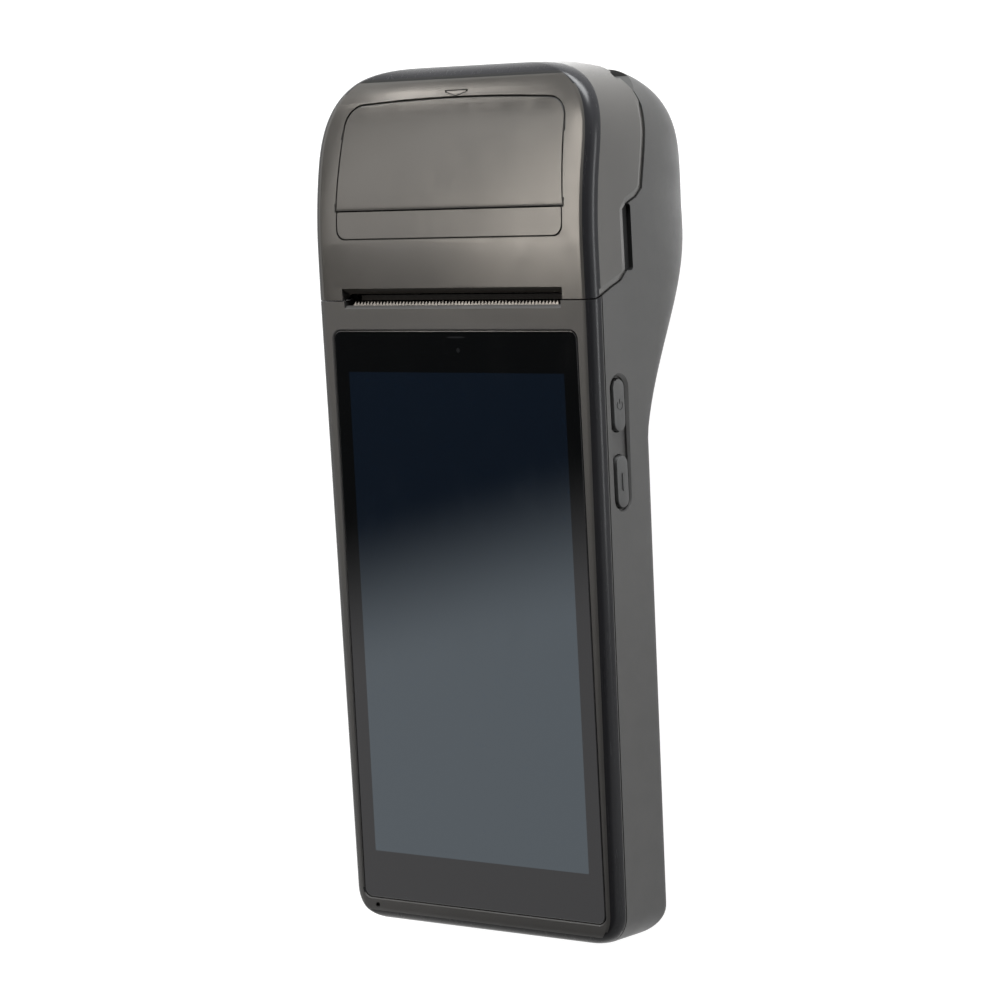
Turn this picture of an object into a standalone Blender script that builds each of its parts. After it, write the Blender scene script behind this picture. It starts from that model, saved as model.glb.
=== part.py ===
"""Handheld payment terminal with a clamshell receipt printer, modelled in metres.

The parts are placed in the terminal's own axes: X to the right of the screen, Y from the
screen's centre towards the printer, Z out of the screen, with the front face at zero.
The root empty then lays the whole terminal on its back, as it rests on a table.
"""

import math

import bmesh
import bpy

MM = 0.001

# Clearances
GAP = 0.3 * MM
RUNNING_GAP = 0.3 * MM
OVERRUN = 6.0 * MM

# Receipt paper
PAPER_HALF_WIDTH = 29.0 * MM
PAPER_CLEARANCE = 0.2 * MM

# Display and cover glass
DISPLAY_WIDTH = 62.1 * MM
DISPLAY_HEIGHT = 110.4 * MM
GLASS_WIDTH = 70.1 * MM
GLASS_BELOW_CENTRE = 66.2 * MM
GLASS_ABOVE_CENTRE = 64.6 * MM
GLASS_CORNER = 2.5 * MM
GLASS_THICKNESS = 1.1 * MM
GLASS_RECESS = 0.15 * MM

# Outer form
WALL = 2.0 * MM
CHIN = 5.1 * MM
FOREHEAD = 6.7 * MM
SIDE_BEZEL = 3.35 * MM
LID_END_ROOM = 10.8 * MM
SHAFT_END_ROOM = 1.0 * MM
BAY_FLOOR_ROOM = 8.4 * MM
TOP_EDGE_HALF_WIDTH = 14.0 * MM
TOP_TAPER_LENGTH = 22.8 * MM
FACE_BEND_FROM_TEAR = 10.7 * MM
FACE_BEND_RADIUS = 105.0 * MM
EDGE_RADIUS = 3.0 * MM
BOTTOM_CORNER = 7.0 * MM
HEEL_RADIUS = 6.0 * MM
SIDE_DEPTH = 17.0 * MM
GRIP_BACK_DROP = 1.7 * MM
BULGE_START_BELOW_TEAR = 39.2 * MM
BULGE_PEAK_BELOW_ROLL = 4.5 * MM
BULGE_END_BELOW_TOP = 0.8 * MM
FRAME_THICKNESS = 3.2 * MM
SEAM_BELOW_HINGE = 1.8 * MM
TOP_TAPER_EXPONENT = 3.0
BULGE_RISE_EXPONENT = 1.8
BULGE_RAMP_EXPONENT = 1.5
BULGE_CROWN_EXPONENT = 1.7
GRIP_SECTION_EXPONENT = 8.0
BULGE_SECTION_EXPONENT = 2.85

GRIP_HALF_WIDTH = GLASS_WIDTH / 2 + SIDE_BEZEL
BOTTOM_Y = -GLASS_BELOW_CENTRE - CHIN
TEAR_Y = GLASS_ABOVE_CENTRE + FOREHEAD
INNER_BACK = -SIDE_DEPTH - GRIP_BACK_DROP + WALL

# Paper roll and the bay round it, which set the printer end's length and depth
ROLL_RADIUS = 17.0 * MM
ROLL_FROM_TEAR = 22.7 * MM
ROLL_DEPTH = 23.6 * MM
BAY_WALL = 1.0 * MM
BAY_OUTER_RADIUS = ROLL_RADIUS + BAY_WALL
BAY_HALF_WIDTH = PAPER_HALF_WIDTH + PAPER_CLEARANCE + BAY_WALL
BAY_Y = TEAR_Y + ROLL_FROM_TEAR
BAY_Z = -ROLL_DEPTH
LID_LENGTH = ROLL_FROM_TEAR + BAY_OUTER_RADIUS + LID_END_ROOM
TOP_Y = TEAR_Y + LID_LENGTH
FACE_BEND_Y = TEAR_Y + FACE_BEND_FROM_TEAR
WHOLE_DEPTH = ROLL_DEPTH + BAY_OUTER_RADIUS + BAY_FLOOR_ROOM + WALL
BULGE_DEPTH = WHOLE_DEPTH - SIDE_DEPTH
BULGE_START_Y = TEAR_Y - BULGE_START_BELOW_TEAR
BULGE_PEAK_Y = BAY_Y - BULGE_PEAK_BELOW_ROLL
BULGE_END_Y = TOP_Y - BULGE_END_BELOW_TOP

# Side seam between lid and rear shell, as shares of the lid's length and the seam's depth
SEAM_SHARES = (
    (0.004, 0.067),
    (0.020, 0.180),
    (0.045, 0.314),
    (0.068, 0.462),
    (0.103, 0.556),
    (0.363, 0.556),
    (0.388, 0.619),
    (0.414, 0.771),
    (0.445, 0.861),
    (0.691, 0.973),
    (0.790, 1.000),
    (0.854, 0.978),
)
GROOVE_HEIGHT = 2.2 * MM
GROOVE_DEPTH = 1.2 * MM
GROOVE_START_SHARE = 0.103
GROOVE_END_SHARE = 0.385

# Paper slot and tear bar
SLOT_SIDE_ROOM = 2.7 * MM
SLOT_HALF_WIDTH = PAPER_HALF_WIDTH + SLOT_SIDE_ROOM
SLOT_CORNER = 1.8 * MM
SLOT_LIP = 1.5 * MM
SLOT_CHAMFER = 1.3 * MM
SLOT_CHAMFER_DEPTH = 1.7 * MM
TEAR_CHAMFER_SET_IN = 0.5 * MM
TEAR_CHAMFER_HALF_WIDTH = SLOT_HALF_WIDTH - TEAR_CHAMFER_SET_IN
TEAR_CHAMFER = 0.7 * MM
TEAR_CHAMFER_DEPTH = 0.8 * MM
TEAR_CHAMFER_FROM_SEAM = 1.1 * MM
TEAR_BAR_OVERHANG = 0.6 * MM
TEAR_BAR_HALF_WIDTH = PAPER_HALF_WIDTH + TEAR_BAR_OVERHANG
TEAR_BAR_LENGTH = 5.0 * MM
TEAR_BAR_THICKNESS = 0.5 * MM
TEAR_LIP = 1.0 * MM
TOOTH_DEPTH = 0.8 * MM
TOOTH_COUNT = 62

# Lid hinge at the back of the top
HINGE_BELOW_TOP = 4.2 * MM
HINGE_DEPTH = 20.5 * MM
HINGE_BARREL_RADIUS = 2.6 * MM
HINGE_BARREL_HALF_WIDTH = 24.0 * MM
HINGE_LUG_WIDTH = 4.2 * MM
HINGE_PIN_RADIUS = 0.9 * MM
HINGE_RELIEF = 4.0 * MM
LUG_ROOT_LENGTH = 5.0 * MM
LUG_ROOT_DEPTH = 6.0 * MM
HINGE_Y = TOP_Y - HINGE_BELOW_TOP
HINGE_Z = -HINGE_DEPTH
SEAM_DEPTH = HINGE_DEPTH + SEAM_BELOW_HINGE

# Release lever in the lid's face
LEVER_FROM_TEAR = 20.2 * MM
LEVER_OVERHANG = 3.6 * MM
LEVER_TAPER = 1.0 * MM
LEVER_HALF_WIDTH = PAPER_HALF_WIDTH + LEVER_OVERHANG
LEVER_TOP_HALF_WIDTH = LEVER_HALF_WIDTH - LEVER_TAPER
LEVER_HEIGHT = 24.3 * MM
LEVER_CORNER = 5.0 * MM
LEVER_ARCH = 0.8 * MM
LEVER_THICKNESS = 2.2 * MM
LEVER_BARREL_RADIUS = 1.7 * MM
LEVER_PIN_RADIUS = 0.5 * MM
LEVER_FLOOR = 1.5 * MM
LEVER_WINDOW = 7.0 * MM
LEVER_PIN_REACH = 2.6 * MM
LEVER_BOSS_WIDTH = 2.0 * MM
LEVER_BOSS_RADIUS = 1.9 * MM
LEVER_ARM_CLEARANCE = 0.7 * MM
LEVER_ARM_INNER = BAY_HALF_WIDTH + LEVER_ARM_CLEARANCE
LEVER_ARM_THICKNESS = 1.6 * MM
LEVER_ARM_LENGTH = 11.6 * MM
LEVER_ARM_WIDTH = 2.6 * MM
LEVER_NOSE = 1.6 * MM
LEVER_NOSE_THICKNESS = 1.3 * MM
LEVER_SPRING_HALF_LENGTH = 3.0 * MM
LEVER_SPRING_WIRE = 0.15 * MM
LEVER_SPRING_TURNS = 6
LEVER_SKIN = 0.7 * MM
LEVER_UNDERCUT_SHARE = 0.25
LEVER_Y = TEAR_Y + LEVER_FROM_TEAR
LEVER_AXIS_Y = LEVER_Y + LEVER_BARREL_RADIUS

# Platen and its drive
PLATEN_FROM_TEAR = 5.7 * MM
PLATEN_DEPTH = 8.3 * MM
PLATEN_RADIUS = 4.3 * MM
PLATEN_OVERHANG = 0.5 * MM
PLATEN_HALF_WIDTH = PAPER_HALF_WIDTH + PLATEN_OVERHANG
SHAFT_RADIUS = 1.5 * MM
SHAFT_END = 0.6 * MM
BUSH_RADIUS = 2.5 * MM
BUSH_WIDTH = 1.9 * MM
BUSH_INNER_X = PLATEN_HALF_WIDTH + 2 * GAP
BUSH_OUTER_X = BUSH_INNER_X + BUSH_WIDTH
GEAR_MODULE = 0.6 * MM
GEAR_INNER_X = BUSH_OUTER_X + GAP
GEAR_WIDTH = 2.2 * MM
PLATEN_TEETH = 16
IDLER_TEETH = 24
PINION_TEETH = 12
TOOTH_RISE_SHARE = 0.75
TOOTH_FALL_SHARE = 1.05
TOOTH_TIP_SHARE = 0.24
TOOTH_ROOT_SHARE = 0.56
PLATEN_Y = TEAR_Y + PLATEN_FROM_TEAR
PLATEN_Z = -PLATEN_DEPTH

# Lid inner frame, which carries the platen
EAR_CLEARANCE = 0.4 * MM
EAR_THICKNESS = 1.5 * MM
EAR_INNER_X = GEAR_INNER_X + GEAR_WIDTH + EAR_CLEARANCE
SHAFT_HALF_LENGTH = EAR_INNER_X + EAR_THICKNESS + SHAFT_END
PRINTER_HALF_WIDTH = SHAFT_HALF_LENGTH + SHAFT_END_ROOM + WALL
EAR_MARGIN = 3.1 * MM
INNER_FRAME_DEPTH = 4.6 * MM
INNER_FRAME_THICKNESS = 1.4 * MM
INNER_FRAME_START = 12.7 * MM
INNER_FRAME_LENGTH = 6.3 * MM

# Rim, latch studs and sensor of the paper bay
BAY_RIM_DEPTH = 14.0 * MM
LATCH_STUD_RADIUS = 1.2 * MM
LATCH_STUD_LENGTH = 2.2 * MM
LATCH_STUD_DEPTH = 12.5 * MM
LATCH_STUD_FROM_ROLL = 6.8 * MM
LATCH_LUG_HALF_WIDTH = 2.6 * MM
LATCH_LUG_RISE = 3.2 * MM
SENSOR_HALF_WIDTH = 4.0 * MM
SENSOR_THICKNESS = 1.5 * MM
SENSOR_HEIGHT = 3.0 * MM

# Printer frame, head and motor
PLATE_SET_OUT = 0.4 * MM
PLATE_INNER_X = BUSH_INNER_X + PLATE_SET_OUT
PLATE_THICKNESS = 1.2 * MM
PLATE_TOP_DEPTH = 4.0 * MM
CROSS_PLATE_FROM_TEAR = 10.3 * MM
CROSS_PLATE_THICKNESS = 1.2 * MM
CROSS_PLATE_HEIGHT = 11.0 * MM
NOTCH_CLEARANCE = 0.3 * MM
NOTCH_WIDENING = 0.5 * MM
HEAD_THICKNESS = 1.2 * MM
HEAD_TOP_DEPTH = 3.6 * MM
HEAD_HEIGHT = 10.0 * MM
HEAT_SINK_THICKNESS = 2.2 * MM
HEAT_SINK_HEIGHT = 11.0 * MM
HEAD_SPRING_X = 18.0 * MM
HEAD_SPRING_RADIUS = 1.9 * MM
HEAD_SPRING_WIRE = 0.3 * MM
HEAD_SPRING_TURNS = 5
MOTOR_RADIUS = 6.0 * MM
MOTOR_LENGTH = 13.0 * MM
MOTOR_CLEARANCE = 0.4 * MM
MOTOR_SHAFT_RADIUS = 1.0 * MM
MOTOR_SHAFT_SEAT = 3.0 * MM
IDLER_POST_RADIUS = 1.4 * MM

# Display module and boards
LEDGE_WIDTH = 1.7 * MM
LCD_BORDER = 0.9 * MM
LCD_LOWER_BORDER = 5.8 * MM
LCD_UPPER_BORDER = 3.3 * MM
LCD_THICKNESS = 1.7 * MM
CHASSIS_HALF_WIDTH = 36.0 * MM
CHASSIS_BOTTOM_INSET = 4.5 * MM
CHASSIS_TOP_FROM_TEAR = 13.3 * MM
CHASSIS_THICKNESS = 1.2 * MM
STANDOFF_RADIUS = 2.2 * MM
STANDOFF_HEIGHT = 1.0 * MM
BOARD_HALF_WIDTH = 29.6 * MM
BOARD_BOTTOM_Y = 6.0 * MM
BOARD_TOP_Y = 56.0 * MM
BOARD_THICKNESS = 1.2 * MM
STANDOFF_INSET = 3.5 * MM
SHIELD_HEIGHT = 1.9 * MM
SHIELD_PLACE_SHARES = ((0.06, 0.42, 0.08, 0.46), (0.50, 0.92, 0.08, 0.40), (0.20, 0.72, 0.56, 0.90))
BATTERY_HALF_WIDTH = 28.0 * MM
BATTERY_BOTTOM_Y = -60.0 * MM
BATTERY_TOP_Y = 2.0 * MM
BATTERY_TOP_DEPTH = 8.2 * MM
BATTERY_CORNER = 3.0 * MM
SENSOR_DOT_X = 1.5 * MM
SENSOR_DOT_Y = 60.2 * MM
SENSOR_DOT_RADIUS = 1.2 * MM
SENSOR_DOT_HEIGHT = 1.4 * MM
MIC_HOLE_X = -31.2 * MM
MIC_HOLE_FROM_BOTTOM = 3.4 * MM
MIC_HOLE_RADIUS = 0.5 * MM
MIC_HOLE_DEPTH = 1.6 * MM
SPEAKER_LEFT_X = -20.0 * MM
SPEAKER_WIDTH = 18.0 * MM
SPEAKER_BOTTOM_Y = 11.0 * MM
SPEAKER_LENGTH = 14.0 * MM
SPEAKER_HEIGHT = 4.2 * MM
GRILLE_SLOTS = 5
GRILLE_SLOT_WIDTH = 1.2 * MM
GRILLE_SLOT_LENGTH = 11.0 * MM
GRILLE_PITCH = 2.6 * MM

# Battery cover
COVER_HALF_WIDTH = 33.0 * MM
COVER_MARGIN = 3.5 * MM
COVER_THICKNESS = 0.9 * MM
COVER_CORNER = 4.0 * MM
COVER_RECESS = 0.05 * MM
COVER_SCREW_INSET = 2.4 * MM
COVER_SCREW_HEAD = 0.25 * MM
COVER_SCREW_SEAT = 0.1 * MM

# Screws
SCREW_RADIUS = 0.9 * MM
SCREW_HEAD_RADIUS = 1.7 * MM
SCREW_HEAD_HEIGHT = 1.0 * MM
SCREW_SINK = 0.3 * MM
CASE_SCREW_X = 32.4 * MM
CASE_SCREW_BOTTOM_Y = -65.2 * MM
CASE_SCREW_TOP_Y = 12.0 * MM
CASE_BOSS_RADIUS = 2.6 * MM
CASE_BOSS_TOP = 7.8 * MM
CHASSIS_BOSS_RADIUS = 2.2 * MM
COVER_BOSS_RADIUS = 1.9 * MM
COVER_BOSS_HEIGHT = 2.5 * MM
LID_SCREW_SPACING = 22.0 * MM
LID_SCREW_LENGTH = 2.6 * MM
SMALL_SCREW_RADIUS = 0.7 * MM
SMALL_HEAD_RADIUS = 1.4 * MM
SMALL_HEAD_HEIGHT = 0.7 * MM

# Side keys
RECESS_BOTTOM_Y = 24.2 * MM
RECESS_TOP_Y = 54.5 * MM
RECESS_FRONT_DEPTH = 4.9 * MM
RECESS_HEIGHT = 6.4 * MM
RECESS_CUT = 1.0 * MM
KEY_LENGTH = 11.4 * MM
KEY_HEIGHT = 3.9 * MM
KEY_END_MARGIN = 1.1 * MM
KEY_FLANGE = 0.8 * MM
KEY_FLANGE_THICKNESS = 0.7 * MM
KEY_PROUD = 0.1 * MM
KEY_STEM_RADIUS = 0.9 * MM
KEY_STEM_LENGTH = 0.9 * MM
KEY_BAR_HEIGHT = 0.25 * MM
KEY_BAR_LENGTH = 4.0 * MM
KEY_BAR_WIDTH = 0.8 * MM
SWITCH_BODY = 3.4 * MM
SWITCH_DEPTH = 2.0 * MM
SWITCH_PLUNGER = 0.7 * MM
SWITCH_PLUNGER_RADIUS = 0.9 * MM
SWITCH_GAP = 0.5 * MM
KEY_BOARD_THICKNESS = 1.0 * MM
KEY_BOARD_FRONT_DEPTH = 5.3 * MM
KEY_BOARD_HEIGHT = 6.0 * MM

# Charging port in the left side
PORT_Y = 35.0 * MM
PORT_WIDTH = 8.9 * MM
PORT_HEIGHT = 3.2 * MM
PORT_LENGTH = 8.6 * MM
PORT_WALL = 0.35 * MM
PORT_SET_BACK = 0.6 * MM
PORT_TONGUE_THICKNESS = 0.7 * MM

# Fineness of round forms
CORNER_STEPS = 4
EDGE_STEPS = 4
BACK_STEPS = 8
END_STEPS = 5
RAMP_STEPS = 8
TOP_STEPS = 12
ROUND_STEPS = 20
SMALL_ROUND_STEPS = 12
ARCH_STEPS = 6
COIL_STEPS = 8
TILT_STEPS = 40
RIGHT_ANGLE = 90.0
STRAIGHT_ANGLE = 180.0
FULL_ANGLE = 360.0
SMOOTH_ANGLE = 32.0

# Colours as linear values, with roughness and metallic share
MATERIALS = {
    "case_plastic": ((0.022, 0.022, 0.023), 0.48, 0.0),
    "lid_plastic": ((0.030, 0.029, 0.028), 0.38, 0.0),
    "key_plastic": ((0.028, 0.028, 0.028), 0.45, 0.0),
    "inner_plastic": ((0.018, 0.018, 0.018), 0.60, 0.0),
    "cover_glass": ((0.006, 0.007, 0.010), 0.06, 0.0),
    "display": ((0.010, 0.014, 0.028), 0.20, 0.0),
    "steel": ((0.55, 0.55, 0.54), 0.30, 1.0),
    "aluminium": ((0.62, 0.62, 0.62), 0.38, 1.0),
    "rubber": ((0.020, 0.020, 0.020), 0.80, 0.0),
    "gear_plastic": ((0.70, 0.69, 0.64), 0.50, 0.0),
    "ceramic": ((0.72, 0.71, 0.66), 0.30, 0.0),
    "circuit_board": ((0.010, 0.070, 0.030), 0.50, 0.0),
    "battery_wrap": ((0.050, 0.052, 0.058), 0.45, 0.0),
}


# Outlines
def arc(centre, radius, start, end, steps=CORNER_STEPS):
    """Points along an arc between two angles in degrees, both ends included."""
    angles = [math.radians(start + (end - start) * step / steps) for step in range(steps + 1)]
    return [(centre[0] + radius * math.cos(a), centre[1] + radius * math.sin(a)) for a in angles]


def circle(centre, radius, count=ROUND_STEPS):
    return arc(centre, radius, 0.0, FULL_ANGLE, count)[:-1]


def rectangle(left, right, bottom, top):
    return [(left, bottom), (right, bottom), (right, top), (left, top)]


def rounded_rectangle(left, right, bottom, top, radius):
    corners = ((right, top), (left, top), (left, bottom), (right, bottom))
    points = []
    for turn, (x, y) in enumerate(corners):
        inward = (radius if x == left else -radius, radius if y == bottom else -radius)
        centre = (x + inward[0], y + inward[1])
        points += arc(centre, radius, turn * RIGHT_ANGLE, (turn + 1) * RIGHT_ANGLE)
    return points


def offset_path(points, distance):
    """An open path moved sideways, to its right when the distance is positive."""
    moved = []
    for index, (u, v) in enumerate(points):
        before = points[max(index - 1, 0)]
        after = points[min(index + 1, len(points) - 1)]
        along = math.hypot(after[0] - before[0], after[1] - before[1])
        right = ((after[1] - before[1]) / along, (before[0] - after[0]) / along)
        moved.append((u + distance * right[0], v + distance * right[1]))
    return moved


# Closed meshes and Booleans
PLACES = {
    "X": lambda u, v, along: (along, u, v),
    "Y": lambda u, v, along: (u, along, v),
    "Z": lambda u, v, along: (u, v, along),
}


def finished(shape):
    shape.normal_update()
    bmesh.ops.recalc_face_normals(shape, faces=shape.faces)
    mesh = bpy.data.meshes.new("form")
    shape.to_mesh(mesh)
    shape.free()
    return mesh


def skinned(loops):
    """A closed mesh through loops of points that all have the same count, with flat ends."""
    shape = bmesh.new()
    rings = [[shape.verts.new(point) for point in loop] for loop in loops]
    shape.faces.new(rings[0])
    shape.faces.new(rings[-1])
    for near, far in zip(rings, rings[1:]):
        for index in range(len(near)):
            shape.faces.new((near[index - 1], near[index], far[index], far[index - 1]))
    return finished(shape)


def sweep(outline, axis, low, high):
    """A closed mesh: an outline swept straight along an axis. For X the outline holds (y, z)."""
    place = PLACES[axis]
    return skinned([[place(u, v, low) for u, v in outline], [place(u, v, high) for u, v in outline]])


def block(left, right, bottom, top, back, front):
    return sweep(rectangle(left, right, bottom, top), "Z", back, front)


def joined(meshes):
    """One mesh that holds several solids that stay apart."""
    shape = bmesh.new()
    for mesh in meshes:
        shape.from_mesh(mesh)
        bpy.data.meshes.remove(mesh)
    return finished(shape)


def both_sides(mesh):
    """A mesh on the right of the middle plane, with its mirror image on the left."""
    shape = bmesh.new()
    shape.from_mesh(mesh)
    copy = bmesh.ops.duplicate(shape, geom=shape.verts[:] + shape.edges[:] + shape.faces[:])["geom"]
    for vert in copy:
        if isinstance(vert, bmesh.types.BMVert):
            vert.co.x = -vert.co.x
    bpy.data.meshes.remove(mesh)
    return finished(shape)


def boolean(first, second, operation):
    """The mesh that a Boolean leaves of two meshes, which are both used up."""
    holder = bpy.data.objects.new("first", first)
    tool = bpy.data.objects.new("second", second)
    for thing in (holder, tool):
        bpy.context.scene.collection.objects.link(thing)
    modifier = holder.modifiers.new("boolean", "BOOLEAN")
    modifier.operation = operation
    modifier.object = tool
    bpy.context.view_layer.update()
    result = bpy.data.meshes.new_from_object(holder.evaluated_get(bpy.context.evaluated_depsgraph_get()))
    for thing, mesh in ((holder, first), (tool, second)):
        bpy.data.objects.remove(thing)
        bpy.data.meshes.remove(mesh)
    return result


def cut(mesh, *tools):
    for tool in tools:
        mesh = boolean(mesh, tool, "DIFFERENCE")
    return mesh


def fused(mesh, *others):
    for other in others:
        mesh = boolean(mesh, other, "UNION")
    return mesh


def common(mesh, other):
    return boolean(mesh, other, "INTERSECT")


def tube(outer, inner, axis, low, high):
    """A ring-shaped solid between two outlines with the same count of points."""
    place = PLACES[axis]
    shape = bmesh.new()
    rings = []
    for outline, along in ((outer, low), (outer, high), (inner, high), (inner, low)):
        rings.append([shape.verts.new(place(u, v, along)) for u, v in outline])
    for near, far in zip(rings, rings[1:] + rings[:1]):
        for index in range(len(near)):
            shape.faces.new((near[index - 1], near[index], far[index], far[index - 1]))
    return finished(shape)


# Scene objects
def made_material(name):
    colour, roughness, metallic = MATERIALS[name]
    material = bpy.data.materials.new(name)
    material.use_nodes = True
    shader = material.node_tree.nodes["Principled BSDF"]
    shader.inputs["Base Color"].default_value = (*colour, 1.0)
    shader.inputs["Roughness"].default_value = roughness
    shader.inputs["Metallic"].default_value = metallic
    material.diffuse_color = (*colour, 1.0)
    return material


def made_pivot(name, place, parent, parent_place=(0.0, 0.0, 0.0)):
    """An empty at a place in the terminal's own axes, under a parent that is at parent_place."""
    pivot = bpy.data.objects.new(name, None)
    pivot.empty_display_size = GRIP_HALF_WIDTH / 2
    bpy.context.scene.collection.objects.link(pivot)
    pivot.parent = parent
    pivot.location = [here - there for here, there in zip(place, parent_place)]
    return pivot


def add_part(name, mesh, material, pivot, place=(0.0, 0.0, 0.0)):
    """A named part, whose origin is its pivot's place in the terminal's own axes."""
    for vertex in mesh.vertices:
        vertex.co = [co - start for co, start in zip(vertex.co, place)]
    mesh.name = name
    mesh.materials.clear()
    mesh.materials.append(bpy.data.materials.get(material) or made_material(material))
    mesh.polygons.foreach_set("material_index", [0] * len(mesh.polygons))
    mesh.shade_smooth()
    mesh.set_sharp_from_angle(angle=math.radians(SMOOTH_ANGLE))
    part = bpy.data.objects.new(name, mesh)
    bpy.context.scene.collection.objects.link(part)
    part.parent = pivot
    return part


def add_copies(name, meshes, material, pivot, place=(0.0, 0.0, 0.0)):
    """Like parts, each its own object, numbered from 1."""
    for number, mesh in enumerate(meshes, start=1):
        add_part(f"{name}_{number}", mesh, material, pivot, place)


# Outer form of the terminal
def drawn_in(distance, radius):
    """How far a quarter-round edge has drawn in, at a distance from its end."""
    if distance >= radius:
        return 0.0
    return radius - math.sqrt(max(0.0, radius**2 - (radius - distance) ** 2))


def half_width(y):
    taper_start = TOP_Y - TOP_TAPER_LENGTH
    if y <= taper_start:
        share = min((y - BOTTOM_Y) / (TEAR_Y - BOTTOM_Y), 1.0)
        width = GRIP_HALF_WIDTH + (PRINTER_HALF_WIDTH - GRIP_HALF_WIDTH) * share
        return width - drawn_in(y - BOTTOM_Y, BOTTOM_CORNER)
    share = min((y - taper_start) / TOP_TAPER_LENGTH, 1.0)
    swell = (1.0 - share**TOP_TAPER_EXPONENT) ** (1.0 / TOP_TAPER_EXPONENT)
    return TOP_EDGE_HALF_WIDTH + (PRINTER_HALF_WIDTH - TOP_EDGE_HALF_WIDTH) * swell


def face_z(y):
    """Height of the front face, which bends back over the printer."""
    bend = max(y - FACE_BEND_Y, 0.0)
    return math.sqrt(FACE_BEND_RADIUS**2 - bend**2) - FACE_BEND_RADIUS


def front_z(y):
    return face_z(y) - drawn_in(y - BOTTOM_Y, EDGE_RADIUS) - drawn_in(TOP_Y - y, EDGE_RADIUS)


def bulge_share(y):
    """Depth of the rounded back at a place along the terminal, as a share of its deepest."""
    if y <= BULGE_START_Y or y >= BULGE_END_Y:
        return 0.0
    if y <= BULGE_PEAK_Y:
        along = (y - BULGE_START_Y) / (BULGE_PEAK_Y - BULGE_START_Y)
        return 1.0 - (1.0 - along**BULGE_RISE_EXPONENT) ** BULGE_RAMP_EXPONENT
    past = (y - BULGE_PEAK_Y) / (BULGE_END_Y - BULGE_PEAK_Y)
    return (1.0 - past**BULGE_CROWN_EXPONENT) ** (1.0 / BULGE_CROWN_EXPONENT)


def section(y, inset, front_inset):
    """Half of the cross-section at y, from the front edge round to the middle of the back.

    The back is flat across its middle at the grip and crowned at the printer.
    """
    share = bulge_share(y)
    depth = max(BULGE_DEPTH * share, GRIP_BACK_DROP)
    back = drawn_in(y - BOTTOM_Y, HEEL_RADIUS) - SIDE_DEPTH - depth + inset
    depth = max(depth - inset, GRIP_BACK_DROP)
    width = half_width(y) - inset
    radius = EDGE_RADIUS - inset / 2
    front = front_z(y) - front_inset
    power = 2.0 / (GRIP_SECTION_EXPONENT + (BULGE_SECTION_EXPONENT - GRIP_SECTION_EXPONENT) * share)
    half = arc((width - radius, front - radius), radius, RIGHT_ANGLE, 0.0, EDGE_STEPS)
    for step in range(BACK_STEPS):
        angle = math.radians(RIGHT_ANGLE * step / BACK_STEPS)
        half.append((width * math.cos(angle) ** power, back + depth - depth * math.sin(angle) ** power))
    flat = half[-1][1]
    half.append((0.0, flat + (back - flat) * share))
    return half


def stations():
    """Places along the terminal where the outer form has a cross-section."""
    low = [math.cos(math.radians(RIGHT_ANGLE * step / END_STEPS)) for step in range(END_STEPS + 1)]
    high = [math.sin(math.radians(RIGHT_ANGLE * step / TOP_STEPS)) for step in range(TOP_STEPS + 1)]
    bottom = [BOTTOM_Y + BOTTOM_CORNER * (1 - share) for share in low]
    ramp = [BULGE_START_Y + (FACE_BEND_Y - BULGE_START_Y) * step / RAMP_STEPS for step in range(RAMP_STEPS)]
    top = [TOP_Y - (TOP_Y - FACE_BEND_Y) * (1 - share) for share in high]
    return bottom + ramp + top


def body_form(inset=0.0, face_inset=0.0):
    """The whole outer form, or the hollow inside it when there is an inset."""
    loops = []
    for y in stations():
        share = (y - BOTTOM_Y) / (TOP_Y - BOTTOM_Y)
        place = y + inset * (1.0 - 2.0 * share)
        half = section(y, inset, face_inset if y > FACE_BEND_Y + GAP else inset)
        mirrored = [(-x, z) for x, z in reversed(half[:-1])]
        loops.append([(x, place, z) for x, z in half + mirrored])
    return skinned(loops)


def hollow():
    return body_form(WALL, LEVER_THICKNESS + GAP + LEVER_FLOOR)


def seam_path():
    """Points (y, z) along the lid's side edge, from the tear line back to the hinge."""
    return [(TEAR_Y + LID_LENGTH * along, -SEAM_DEPTH * deep) for along, deep in SEAM_SHARES]


def lid_space(gap=0.0, relief=0.0):
    """The room of the lid, or the larger room that the rear shell leaves for it."""
    path = offset_path([(TEAR_Y, OVERRUN)] + seam_path(), gap)
    path[0] = (TEAR_Y - gap, OVERRUN)
    back = HINGE_Z - relief
    path += [(HINGE_Y, back), (TOP_Y + OVERRUN, back), (TOP_Y + OVERRUN, OVERRUN)]
    reach = PRINTER_HALF_WIDTH + OVERRUN
    return sweep(path, "X", -reach, reach)


def whole_slab(back, front):
    reach = PRINTER_HALF_WIDTH + OVERRUN
    return block(-reach, reach, BOTTOM_Y - OVERRUN, TOP_Y + OVERRUN, back, front)


# Front frame, glass and display
def glass_outline(margin=0.0):
    side = GLASS_WIDTH / 2 + margin
    low = -GLASS_BELOW_CENTRE - margin
    return rounded_rectangle(-side, side, low, GLASS_ABOVE_CENTRE + margin, GLASS_CORNER + margin)


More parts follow.
